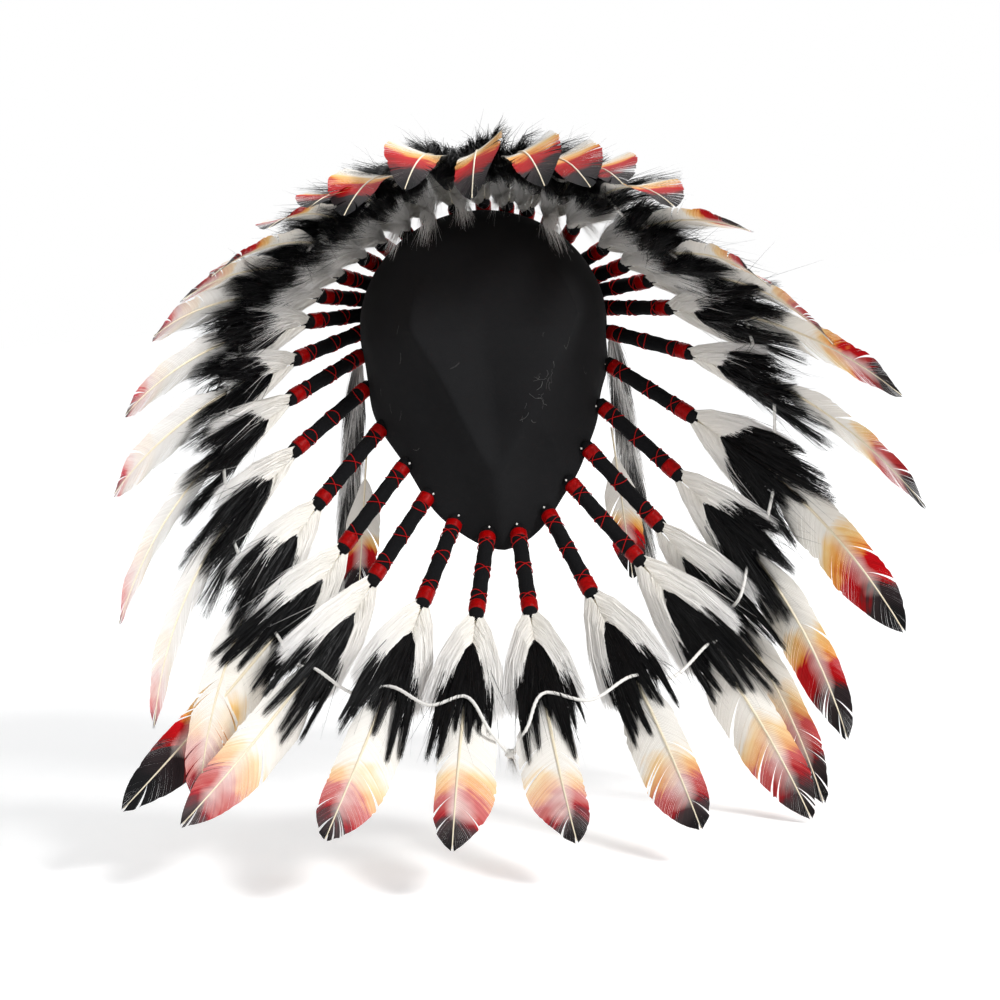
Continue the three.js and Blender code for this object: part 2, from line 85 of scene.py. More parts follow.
# Feathers of each side, from the nape to the brow. All columns but the last two repeat the solids' own.
# turn: degrees round the cap from the nape. aim: direction seen from behind, outwards from straight down.
# lean: towards the back. tipAim, tipLean: the same at the tip. roll: turn of the vane about its quill.
# bulk: share of the full tuft. reach: share of the full length.
# dye: how strongly the vane is coloured, over 1 also at the quill.
# shift: how far its colours start nearer the tip.
featherKeys = ("turn", "aim", "lean", "tipAim", "tipLean", "roll", "bulk", "reach", "dye", "shift")
leftFeathers = [
    (5, 15, 49, 9, 61, -2, 1, 0.86, 0.8, -0.02),
    (20, 29, 43, 32, 58, -6, 1, 0.88, 0.75, 0.02),
    (34, 40, 28, 52, 42, -25, 1, 0.93, 0.7, 0.02),
    (47, 43, 24, 50, 22, -20, 1, 0.98, 1, -0.14),
    (62, 46, 26, 5, 26, -25, 1, 0.98, 0.45, 0.08),
    (78, 55, 31, 6, 32, -52, 1, 0.98, 0.2, 0.12),
    (93, 65, 42, 18, 38, -52, 1, 0.98, 0.2, 0.12),
    (107, 74, 47, 34, 60, -42, 1, 0.95, 0.15, 0.12),
    (118, 90, 53, 40, 58, -38, 0.9, 0.94, 0.2, 0.1),
    (127, 102, 54, 46, 68, -38, 0.85, 0.92, 0.3, 0.08),
    (136, 112, 58, 50, 66, -38, 0.8, 0.92, 0.6, 0.04),
    (145, 124, 61, 50, 60, -38, 0.75, 0.92, 1, 0),
    (153, 134, 61, 44, 72, -36, 0.7, 0.9, 1.2, -0.02),
    (161, 147, 62, 40, 70, -34, 0.7, 0.9, 1.3, -0.04),
    (169, 160, 59, 26, 56, -32, 0.7, 0.9, 1.3, -0.04),
    (177, 173, 57, 20, 58, -30, 0.7, 0.92, 1.3, -0.04),
]
rightFeathers = [
    (5, 3, 49, 12, 62, -2, 1, 0.86, 0.7, 0),
    (20, 24, 40, 15, 58, -6, 1, 0.88, 0.85, 0),
    (34, 37, 22, 18, 38, -10, 1, 0.91, 0.85, 0),
    (47, 38, 16, 10, 28, -35, 1, 0.94, 0.9, -0.03),
    (62, 43, 22, 9, 26, -30, 1, 0.93, 1, -0.05),
    (78, 53, 28, 22, 34, -16, 1, 0.93, 1, -0.06),
    (93, 71, 41, 29, 40, -50, 1, 0.97, 0.9, 0),
    (107, 86, 51, 41, 46, -38, 1, 0.97, 1, -0.02),
    (118, 98, 56, 29, 54, -42, 0.9, 0.95, 0.8, 0.02),
    (127, 107, 62, 32, 68, -38, 0.85, 0.94, 0.9, 0),
    (136, 120, 63, 56, 66, -38, 0.8, 0.93, 1, 0),
    (145, 144, 63, 32, 66, -38, 0.75, 0.93, 1.2, -0.02),
    (153, 156, 62, 26, 68, -36, 0.7, 0.92, 1.3, -0.03),
    (161, 166, 60, 22, 60, -34, 0.7, 0.92, 1.3, -0.04),
    (169, 172, 58, 12, 58, -32, 0.7, 0.92, 1.3, -0.04),
    (177, 178, 56, -8, 52, -30, 0.7, 0.92, 1.3, -0.04),
]

# The cap's form, as in its solid. Turns are degrees from the nape, depths are below the crown.
cap = {
    "halfWidth": 0.091,
    "halfLength": 0.100,
    "crownHeight": 0.087,
    "crownLead": 0.018,
    "squareness": 2.5,
    "napeTaper": 0.15,
    "napeTaperDepth": 0.120,
    "napeTaperPower": 1.3,
    "wall": 0.0024,
    "hemMargin": 0.008,
    "hemPoint": 0.005,
    "hemPointTurn": 22,
    "browDepth": 0.038,
    "sideFall": 0.117,
    "napeFall": 0.073,
    "napeSteepness": 3.7,
    "foldHeight": 0.007,  # the solid's plain fold, which clothFolds takes out again
    "foldTopDepth": 0.070,
    "foldWideDepth": 0.112,
    "foldTipDepth": 0.205,
    "foldWideTurn": 38,
    "foldTipTurn": 12,
    "columns": 220,
    "rows": 120,
}
plume = {
    "sleeve": 0.084,
    "sleeveRadius": 0.0054,
    "length": 0.236,
    "vaneFrom": 0.058,  # from the sleeve's end, under the black fur
    "colourFrom": 0.075,
    "lead": 0.0135,  # width of the narrow side of the vane
    "trail": 0.0255,  # width of the broad side
    "camber": 0.0034,
    "barbs": 88,
    "barbSteps": 6,
    "barbSweep": 0.024,  # how far a barb's end lies past its root
    "tipRoom": 0.008,  # bare end of the quill, past the last barb's root
    "rootWidth": 0.28,  # share of the full width at the first barb
    "fullFrom": 0.34,  # share of the length where the vane is at its full width
    "leadClose": (0.70, 2.6),  # where the narrow side starts to close, and how bluntly
    "trailClose": (0.58, 1.7),
    "splits": (2, 5),  # least, and one more than the most
    "splitOpen": (0.0015, 0.0055),
    "worn": 0.06,  # share of the barbs
    "wave": 0.0006,
    "quill": 0.0021,
    "quillIn": 0.004,  # how far it reaches into the sleeve
    "stitch": 0.0008,
    "shaggyFrom": 38,  # turn from which the fur is looser, and over how many degrees it grows so
    "shaggyOver": 45,
    "standingFrom": 95,
    "standingOver": 50,
    "gap": 0.00035,
}


def smooth(x):
    x = np.clip(x, 0, 1)
    return x * x * (3 - 2 * x)


def fromNape(turn):
    turn = np.abs(turn)
    return np.minimum(turn, 360 - turn)


def seamDepth(turn):
    near = (1 + np.cos(np.radians(turn))) / 2
    return cap["browDepth"] + cap["sideFall"] * near + cap["napeFall"] * near ** cap["napeSteepness"]


def hemDepth(turn):
    point = cap["hemPoint"] * np.clip(1 - fromNape(turn) / cap["hemPointTurn"], 0, 1)
    return seamDepth(turn) + cap["hemMargin"] + point


def foldShape(turn, depth):
    opening = np.clip((depth - cap["foldTopDepth"]) / (cap["foldWideDepth"] - cap["foldTopDepth"]), 0, 1)
    closing = np.clip((depth - cap["foldWideDepth"]) / (cap["foldTipDepth"] - cap["foldWideDepth"]), 0, 1)
    half = cap["foldWideTurn"] + (cap["foldTipTurn"] - cap["foldWideTurn"]) * closing
    return opening, fromNape(turn) / half


# Outer cloth of the cap at a turn from the nape and a depth below the crown
def capPoint(turn, depth, offset=0.0, extra=0.0):
    a = np.radians(turn)
    high = cap["crownHeight"]
    above = np.clip((high - depth) / high, 0, 1)
    below = np.maximum(0, depth - high) / cap["napeTaperDepth"]
    tapered = 1 - cap["napeTaper"] * below ** cap["napeTaperPower"]
    reach = np.where(depth < high, np.sqrt(1 - above**2), tapered)
    opening, side = foldShape(turn, depth)
    fold = cap["foldHeight"] * opening * np.clip(1 - side, 0, 1)
    grown = reach + (offset + extra) / cap["halfWidth"]
    power = 2 / cap["squareness"]
    across = np.sign(np.sin(a)) * np.abs(np.sin(a)) ** power
    back = -np.sign(np.cos(a)) * np.abs(np.cos(a)) ** power
    return np.stack([
        cap["halfWidth"] * grown * across,
        -cap["crownLead"] * (1 - above) + (cap["halfLength"] + fold) * grown * back,
        cap["wall"] - depth + np.where(depth < high, offset * above, 0),
    ], axis=-1)


def directionOf(side, aim, lean):
    a, l = math.radians(aim), math.radians(lean)
    return np.array([side * math.sin(a) * math.cos(l), -math.sin(l), -math.cos(a) * math.cos(l)])


# A feather runs straight through its sleeve, then along an arc to the tip's direction
def featherLine(side, row):
    first = directionOf(side, row["aim"], row["lean"])
    last = directionOf(side, row["tipAim"], row["tipLean"])
    bend = math.acos(np.dot(first, last))
    towards = last - first * np.dot(first, last)
    towards /= np.linalg.norm(towards)
    axis = np.cross(first, towards)
    aim, lean, roll = (math.radians(row[k]) for k in ("aim", "lean", "roll"))
    ring = np.array([side * math.cos(aim), 0, math.sin(aim)])
    away = np.array([
        side * math.sin(aim) * math.sin(lean), math.cos(lean), -math.cos(aim) * math.sin(lean),
    ])
    seat = capPoint(np.array(side * row["turn"]), seamDepth(row["turn"]), plume["gap"])
    return {
        "side": side, "first": first, "towards": towards, "axis": axis, "bend": bend,
        "width": ring * math.cos(roll) + away * math.sin(roll),
        "seat": seat, "plume": plume["length"] * row["reach"],
    }


# Points at distance s along a feather, t across it and n out of its face
def placeOn(line, s, t, n):
    s, t, n = (np.asarray(v, float)[..., None] for v in (s, t, n))
    past = np.maximum(0, s - plume["sleeve"])
    angle = line["bend"] * past / line["plume"]
    radius = line["plume"] / line["bend"]
    point = line["seat"] + line["first"] * np.minimum(s, plume["sleeve"])
    point = point + line["first"] * radius * np.sin(angle) + line["towards"] * radius * (1 - np.cos(angle))
    forward = line["first"] * np.cos(angle) + line["towards"] * np.sin(angle)
    w = line["width"]
    across = line["axis"] * np.dot(w, line["axis"]) + np.dot(w, line["first"]) * forward
    inward = line["towards"] * np.cos(angle) - line["first"] * np.sin(angle)
    across = across + np.dot(w, line["towards"]) * inward
    normal = np.cross(forward, across) * line["side"]
    return point + across * t + normal * n


feathers = []
for word, side, rows in (("left", -1, leftFeathers), ("right", 1, rightFeathers)):
    for number, values in enumerate(rows, 1):
        row = dict(zip(featherKeys, values))
        node = f"feather_{word}_{number:02d}"
        feathers.append({"node": node, "row": row, "line": featherLine(side, row)})


# Meshes are kept as arrays while they are copied and bent: points, faces, material slot,
# and for each point a paint colour and a uv
def clearSelection():
    if bpy.context.object and bpy.context.object.mode != "OBJECT":
        bpy.ops.object.mode_set(mode="OBJECT")
    bpy.ops.object.select_all(action="DESELECT")


# Takes a modelled primitive's points and faces and removes the object
def takeMesh(piece):
    points = np.array([v.co for v in piece.data.vertices], float)
    faces = [tuple(p.vertices) for p in piece.data.polygons]
    bpy.data.objects.remove(piece)
    return points, faces


def stack(parts):
    points, faces, slots, paint, uv, start = [], [], [], [], [], 0
    for p in parts:
        points.append(p["points"])
        faces.extend(tuple(i + start for i in f) for f in p["faces"])
        slots.extend([p["slot"]] * len(p["faces"]))
        count = len(p["points"])
        paint.append(np.broadcast_to(p.get("paint", (0.5, 0.5, 0.5, 1)), (count, 4)))
        uv.append(np.broadcast_to(p.get("uv", (0.0, 0.0)), (count, 2)))
        start += count
    return np.concatenate(points), faces, np.array(slots), np.concatenate(paint), np.concatenate(uv)


def buildPiece(name, parts, finishes, node):
    points, faces, slots, paint, uv = stack(parts)
    mesh = bpy.data.meshes.new(name)
    mesh.from_pydata(points.tolist(), [], faces)
    for finish in finishes:
        mesh.materials.append(finish)
    mesh.polygons.foreach_set("material_index", slots.astype(np.int32))
    mesh.polygons.foreach_set("use_smooth", np.ones(len(faces), bool))
    colours = mesh.attributes.new("paint", "FLOAT_COLOR", "POINT")
    colours.data.foreach_set("color", paint.astype(np.float32).ravel())
    layer = mesh.uv_layers.new(name="strand")
    loops = np.zeros(len(mesh.loops), np.int32)
    mesh.loops.foreach_get("vertex_index", loops)
    layer.data.foreach_set("uv", uv[loops].astype(np.float32).ravel())
    mesh.update()
    piece = bpy.data.objects.new(name, mesh)
    bpy.context.scene.collection.objects.link(piece)
    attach(piece, "root")
    if node:
        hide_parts(node)
    return piece


# Materials. Grain and hair colour are used by several of them, so each is a node group.
def newMaterial(name):
    material = bpy.data.materials.new(name)
    material.use_nodes = True
    nodes, links = material.node_tree.nodes, material.node_tree.links
    return material, nodes, links, nodes["Principled BSDF"]


def newGroup(name, inputs, outputs):
    group = bpy.data.node_groups.new(name, "ShaderNodeTree")
    for direction, sockets in (("INPUT", inputs), ("OUTPUT", outputs)):
        for label, kind in sockets.items():
            group.interface.new_socket(label, in_out=direction, socket_type=f"NodeSocket{kind}")
    nodes, links = group.nodes, group.links
    return group, nodes, links, nodes.new("NodeGroupInput").outputs, nodes.new("NodeGroupOutput").inputs


def setOrLink(links, socket, value):
    if isinstance(value, bpy.types.NodeSocket):
        links.new(value, socket)
    elif socket.type == "RGBA":
        socket.default_value = (*value, 1)
    else:
        socket.default_value = value


def placeGroup(nodes, links, group, **values):
    node = nodes.new("ShaderNodeGroup")
    node.node_tree = group
    for label, value in values.items():
        setOrLink(links, node.inputs[label], value)
    return node.outputs[0]


def ramp(nodes, stops):
    node = nodes.new("ShaderNodeValToRGB")
    while len(node.color_ramp.elements) < len(stops):
        node.color_ramp.elements.new(0.5)
    for element, (place, colour) in zip(node.color_ramp.elements, stops):
        element.position = place
        element.color = (*colour, 1)
    return node


def calculate(nodes, links, operation, *values, clamp=False):
    node = nodes.new("ShaderNodeMath")
    node.operation = operation
    node.use_clamp = clamp
    for socket, value in zip(node.inputs, values):
        setOrLink(links, socket, value)
    return node.outputs[0]


def mixColours(nodes, links, factor, a, b, blend="MIX"):
    node = nodes.new("ShaderNodeMix")
    node.data_type = "RGBA"
    node.blend_type = blend
    for socket, value in zip((node.inputs[0], node.inputs[6], node.inputs[7]), (factor, a, b)):
        setOrLink(links, socket, value)
    return node.outputs[2]


def addBump(nodes, links, shader, height, distance, strength):
    bump = nodes.new("ShaderNodeBump")
    bump.inputs["Distance"].default_value = distance
    bump.inputs["Strength"].default_value = strength
    links.new(height, bump.inputs["Height"])
    links.new(bump.outputs[0], shader.inputs["Normal"])


def paintOf(nodes, links):
    attribute = nodes.new("ShaderNodeAttribute")
    attribute.attribute_name = "paint"
    split = nodes.new("ShaderNodeSeparateColor")
    links.new(attribute.outputs["Color"], split.inputs[0])
    return split.outputs


# Noise fixed to the object, drawn out where a stretch is below 1
def grainGroup():
    group, nodes, links, given, result = newGroup(
        "grain", {"Scale": "Float", "Detail": "Float", "Stretch": "Vector"}, {"Amount": "Float"},
    )
    coordinates = nodes.new("ShaderNodeTexCoord")
    mapping = nodes.new("ShaderNodeMapping")
    noise = nodes.new("ShaderNodeTexNoise")
    links.new(coordinates.outputs["Object"], mapping.inputs["Vector"])
    links.new(given["Stretch"], mapping.inputs["Scale"])
    links.new(mapping.outputs[0], noise.inputs["Vector"])
    links.new(given["Scale"], noise.inputs["Scale"])
    links.new(given["Detail"], noise.inputs["Detail"])
    links.new(noise.outputs["Fac"], result["Amount"])
    return group


# Paint holds how far along the hair a point is, and the hair's own tone
def hairColourGroup():
    group, nodes, links, given, result = newGroup(
        "hairColour",
        {"Root": "Color", "Tip": "Color", "Darkest": "Float", "Lightest": "Float"},
        {"Colour": "Color"},
    )
    along, tone, _ = paintOf(nodes, links)
    colour = mixColours(nodes, links, along, given["Root"], given["Tip"])
    shade = nodes.new("ShaderNodeMapRange")
    links.new(tone, shade.inputs["Value"])
    links.new(given["Darkest"], shade.inputs["To Min"])
    links.new(given["Lightest"], shade.inputs["To Max"])
    toned = nodes.new("ShaderNodeVectorMath")
    toned.operation = "SCALE"
    links.new(colour, toned.inputs[0])
    links.new(shade.outputs[0], toned.inputs["Scale"])
    links.new(toned.outputs[0], result["Colour"])
    return group


grain = grainGroup()
hairColour = hairColourGroup()


def furMaterial(name, root, tip, tones, roughness, gloss):
    material, nodes, links, shader = newMaterial(name)
    colour = placeGroup(nodes, links, hairColour, Root=root, Tip=tip, Darkest=tones[0], Lightest=tones[1])
    links.new(colour, shader.inputs["Base Color"])
    shader.inputs["Roughness"].default_value = roughness
    shader.inputs["Specular IOR Level"].default_value = gloss
    return material


vane = {
    "dyed": [
        (0.0, (0.88, 0.86, 0.82)), (0.44, (0.92, 0.88, 0.80)), (0.52, (0.92, 0.62, 0.26)),
        (0.61, (0.86, 0.34, 0.06)), (0.66, (0.56, 0.001, 0.006)), (0.78, (0.40, 0.0, 0.002)),
        (0.84, (0.030, 0.020, 0.022)), (1.0, (0.006, 0.006, 0.007)),
    ],
    "plain": [
        (0.0, (0.86, 0.85, 0.83)), (0.66, (0.88, 0.86, 0.83)), (0.74, (0.80, 0.50, 0.46)),
        (0.80, (0.62, 0.06, 0.09)), (0.87, (0.20, 0.15, 0.15)), (0.94, (0.02, 0.02, 0.02)),
    ],
    "bare": (0.88, 0.85, 0.80),  # where no dye has taken
    "streakColour": (0.5, 0.47, 0.45),
    "streak": 0.18,
    "patchScale": 42,
    "wander": 0.22,  # shift of the bands from patch to patch
    "barbShift": 0.05,  # shift of the bands from barb to barb
    "leastDye": 0.42,  # at the quill
    "edgeDye": 1.15,  # added towards the edges
    "fullDye": 2.6,  # added for a dye over 1
    "tipDye": 7.0,
    "tipFrom": 0.80,
    "patchDye": 1.1,
}


# Bands of dye along the vane, strongest at the edges, broken up barb by barb
def vaneMaterial():
    material, nodes, links, shader = newMaterial("vane")

    def work(operation, *values, clamp=False):
        return calculate(nodes, links, operation, *values, clamp=clamp)

    tone, dye, ribbed = paintOf(nodes, links)
    uvNode = nodes.new("ShaderNodeUVMap")
    uvNode.uv_map = "strand"
    split = nodes.new("ShaderNodeSeparateXYZ")
    links.new(uvNode.outputs[0], split.inputs[0])
    across, along = split.outputs[0], split.outputs[1]
    noise = placeGroup(nodes, links, grain, Scale=vane["patchScale"], Detail=2, Stretch=(1, 1, 1))
    patch = work("SUBTRACT", noise, 0.5)
    barb = work("MULTIPLY", work("SUBTRACT", tone, 0.5), vane["barbShift"])
    place = work("ADD", work("ADD", along, work("MULTIPLY", patch, vane["wander"])), barb)
    dyed, plain = ramp(nodes, vane["dyed"]), ramp(nodes, vane["plain"])
    links.new(place, dyed.inputs[0])
    links.new(place, plain.inputs[0])
    bands = mixColours(nodes, links, work("MINIMUM", dye, 1.0), plain.outputs[0], dyed.outputs[0])
    strength = work("MULTIPLY_ADD", work("ABSOLUTE", across), vane["edgeDye"], vane["leastDye"])
    full = work("MULTIPLY", work("SUBTRACT", dye, 1.0), vane["fullDye"])
    strength = work("ADD", strength, work("MAXIMUM", full, 0.0))
    atTip = work("MULTIPLY", work("SUBTRACT", along, vane["tipFrom"]), vane["tipDye"])
    strength = work("ADD", strength, work("MAXIMUM", atTip, 0.0))
    strength = work("ADD", strength, work("MULTIPLY", patch, vane["patchDye"]), clamp=True)
    colour = mixColours(nodes, links, strength, vane["bare"], bands)
    streak = work("MULTIPLY", tone, vane["streak"])
    colour = mixColours(nodes, links, streak, colour, vane["streakColour"], "MULTIPLY")
    links.new(colour, shader.inputs["Base Color"])
    shader.inputs["Roughness"].default_value = 0.62
    shader.inputs["Specular IOR Level"].default_value = 0.12
    ridge = work("SINE", work("MULTIPLY", ribbed, math.pi))
    addBump(nodes, links, shader, ridge, 0.0003, 0.5)
    return material


# Two noises drawn out crosswise stand for the weave
def clothMaterial(name, dark, light, threads):
    material, nodes, links, shader = newMaterial(name)
    upright = placeGroup(nodes, links, grain, Scale=threads, Detail=2, Stretch=(1, 1, 0.25))
    level = placeGroup(nodes, links, grain, Scale=threads, Detail=2, Stretch=(0.25, 1, 1))
    patches = placeGroup(nodes, links, grain, Scale=18, Detail=4, Stretch=(1, 1, 1))
    links.new(mixColours(nodes, links, patches, dark, light), shader.inputs["Base Color"])
    shader.inputs["Roughness"].default_value = 0.9
    shader.inputs["Specular IOR Level"].default_value = 0.06
    addBump(nodes, links, shader, calculate(nodes, links, "ADD", upright, level), 0.0004, 0.5)
    return material


def plainMaterial(name, colour, other, roughness, scale, bump, gloss):
    material, nodes, links, shader = newMaterial(name)
    shader.inputs["Specular IOR Level"].default_value = gloss
    # One grain sets both the colour and the bump: the first colour lies in the low spots, the other on the
    # raised ones
    amount = placeGroup(nodes, links, grain, Scale=scale, Detail=3, Stretch=(1, 1, 1))
    links.new(mixColours(nodes, links, amount, colour, other), shader.inputs["Base Color"])
    shader.inputs["Roughness"].default_value = roughness
    addBump(nodes, links, shader, amount, bump, 0.6)
    return material


# Two colours, roughness, grains per metre, bump in metres, gloss
plainFinishes = {
    "quill": ((0.78, 0.66, 0.44), (0.84, 0.78, 0.64), 0.35, 300, 0.0001, 0.5),
    "felt": ((0.003, 0.003, 0.0034), (0.008, 0.008, 0.009), 0.95, 900, 0.0005, 0.12),
    # ribbon: dark red in the low spots of its bump and light red on the raised ones, painted shade and
    # painted light over the ribbon's own red
    "ribbon": ((0.11, 0.0, 0.0), (0.42, 0.0, 0.0005), 0.42, 420, 0.0008, 0.10),
    "thread": ((0.30, 0.0, 0.0), (0.48, 0.001, 0.001), 0.6, 1500, 0.0001, 0.15),
    "stitch": ((0.7, 0.68, 0.64), (0.8, 0.78, 0.75), 0.7, 1500, 0.0001, 0.5),
    "cord": ((0.74, 0.72, 0.68), (0.86, 0.85, 0.82), 0.8, 2500, 0.0001, 0.5),
    "lint": ((0.06, 0.06, 0.06), (0.18, 0.18, 0.17), 0.8, 900, 0.0001, 0.5),
}
# Colour at the root and at the tip, darkest and lightest tone, roughness, gloss
furFinishes = {
    "whiteFur": ((0.90, 0.87, 0.81), (0.94, 0.93, 0.92), (0.904, 1.064), 0.5, 0.3),
    "blackFur": ((0.002, 0.002, 0.0024), (0.005, 0.005, 0.0055), (0.82, 1.12), 0.4, 0.16),
    "greyFur": ((0.80, 0.79, 0.77), (0.010, 0.010, 0.011), (0.82, 1.12), 0.5, 0.3),
}
materials = {name: plainMaterial(name, *row) for name, row in plainFinishes.items()}
materials.update({name: furMaterial(name, *row) for name, row in furFinishes.items()})
materials["vane"] = vaneMaterial()
materials["capCloth"] = clothMaterial("capCloth", (0.0085, 0.0085, 0.0092), (0.0150, 0.0152, 0.0160), 1400)
featherSlots = ["vane", "quill", "felt", "ribbon", "thread", "stitch", "whiteFur", "blackFur"]
print("materials ready")

# Fur: every hair is one flat ribbon of a few faces, copied from a strip modelled once.
fur = {
    "steps": 3,
    "rootward": 1.25,  # over 1: the steps are finer near the root
    "whiteHairs": 1500,
    "blackHairs": 1650,
    "width": 0.0005,
    "fine": (0.6, 1.2),
    "undercoat": 0.3,  # share of the hairs
    "broad": (1.6, 2.6),  # width of the undercoat's hairs
    "twist": 0.55,
    "tipWidth": 0.1,
    "leastLength": 0.015,
    "whiteSink": (0.012, 0.042),
    "blackSink": 0.006,
}


def modelHair():
    clearSelection()
    bpy.ops.mesh.primitive_grid_add(x_subdivisions=1, y_subdivisions=fur["steps"], size=1)
    points, faces = takeMesh(bpy.context.object)
    points[:, 1] = (points[:, 1] + 0.5) ** fur["rootward"]
    return points, faces


hairPoints, hairFaces = modelHair()


def copyFaces(faces, step, count):
    return [tuple(i + k * step for i in f) for k in range(count) for f in faces]


# Hairs along curved paths from start over bend to end, in feather coordinates
def growHairs(start, bend, end, widths, tone, rng):
    count, step = len(start), len(hairPoints)
    u = hairPoints[:, 1][None, :, None]
    side = hairPoints[:, 0][None, :, None] * 2
    path = (1 - u) ** 2 * start[:, None] + 2 * u * (1 - u) * bend[:, None] + u**2 * end[:, None]
    turn = rng.normal(0, fur["twist"], count)
    across = np.stack([np.zeros(count), np.cos(turn), np.sin(turn)], -1)[:, None]
    taper = (1 - u**1.8) * (1 - fur["tipWidth"]) + fur["tipWidth"]
    points = path + across * side * (widths[:, None, None] / 2) * taper
    paint = np.ones((count, step, 4))
    paint[..., 0] = hairPoints[:, 1][None]
    paint[..., 1] = tone[:, None]
    return points.reshape(-1, 3), copyFaces(hairFaces, step, count), paint.reshape(-1, 4)


# Pulls hair ends towards the middle of the clump that each belongs to
def clumped(ends, groups, pull, rng):
    middles = np.stack([
        ends[groups == g].mean(0) if (groups == g).any() else ends.mean(0) for g in range(groups.max() + 1)
    ])
    strength = pull * rng.uniform(0.6, 1.05, len(ends))[:, None]
    return ends + (middles[groups] - ends) * strength


# The broad hairs of the undercoat lie below the fine ones and close the gaps between them
def hairWidths(count, rng):
    under = rng.random(count) < fur["undercoat"]
    shares = np.where(under, rng.uniform(*fur["broad"], count), rng.uniform(*fur["fine"], count))
    return fur["width"] * shares, under


# Lengths along the feather are from the sleeve's end
white = {
    "top": -0.007,
    "arch": 0.022,
    "archWide": 0.0105,
    "shoulder": 0.0065,
    "rise": 0.0048,
    "lift": 0.009,
    "sunk": 0.0014,  # how much lower the undercoat lies
    "legLow": 0.050,
    "legLong": 0.024,
    "legUneven": (0.75, 1.3),
    "legOut": 0.0265,
    "legIn": 0.0135,
    "clumps": 9,
    "pull": 0.42,
    "scatter": 0.0012,
    "bendScatter": 0.0015,
    "endScatter": 0.004,
    "fray": 0.0022,
    "stray": 0.006,
}


# A hood of sleek hair: it leaves the centre line to both sides and runs down into two pointed legs
def whiteTuft(bulk, standing, rng):
    count = fur["whiteHairs"]
    side = np.where(rng.random(count) < 0.5, -1.0, 1.0)
    out = rng.random(count) ** 0.75  # 0 on the centre line, 1 at the outer edge
    widths, under = hairWidths(count, rng)
    root = white["top"] + (1 - out) ** 1.3 * (white["arch"] - white["top"])
    root = root + rng.normal(0, white["scatter"], count)
    beside = side * (0.0001 + white["shoulder"] * 0.45 * out**2)
    start = np.stack([root, beside, (white["rise"] - 0.004 * out**2) * bulk], -1)
    legs = rng.uniform(*white["legUneven"], 2)
    reach = np.where(side < 0, legs[0], legs[1])
    endS = white["legLow"] + white["legLong"] * reach * (1 - 0.45 * np.abs(out - 0.4))
    endS = endS + rng.normal(0, white["endScatter"], count)
    endT = side * (white["legIn"] + (white["legOut"] - white["legIn"]) * out)
    endN = -0.001 - 0.005 * out + rng.normal(0, white["scatter"], count)
    end = np.stack([endS, endT * bulk, endN * bulk], -1)
    groups = (np.floor(out * white["clumps"]) + np.where(side < 0, 0, white["clumps"])).astype(int)
    end = clumped(end + rng.normal(0, white["fray"], end.shape), groups, white["pull"], rng)
    middle = root + (endS - root) * (0.24 + 0.14 * out) + rng.normal(0, white["bendScatter"], count)
    bulge = side * (white["archWide"] + (white["legOut"] * 0.86 - white["archWide"]) * out**0.9) * bulk
    lift = (white["lift"] * (1 - 0.85 * out) + 0.002) * bulk - np.where(under, white["sunk"], 0)
    bend = np.stack([middle, bulge, lift], -1)
    loose = (rng.random(count) < 0.05 + 0.35 * standing) & ~under
    end[loose] += rng.normal(0, white["stray"], (loose.sum(), 3))
    end[:, 0] = np.maximum(end[:, 0], root + fur["leastLength"])
    return growHairs(start, bend, end, widths * (1 - 0.5 * standing), rng.random(count), rng)


black = {
    "top": 0.022,
    "low": 0.056,
    "rootWide": 0.013,
    "rise": 0.005,
    "bulge": 0.021,
    "lift": 0.012,
    "sunk": 0.002,
    "cover": 0.010,  # added lift where the fur is shaggy
    "endLow": 0.074,
    "endLong": 0.040,
    "wide": 0.0205,
    "clumps": 17,
    "pull": 0.85,
    "endScatter": 0.006,
    "stray": 0.008,
    "outer": 0.62,  # share of the hairs on the outer side of a standing feather
    "bendRise": 0.004,
    "endRise": 0.009,
}


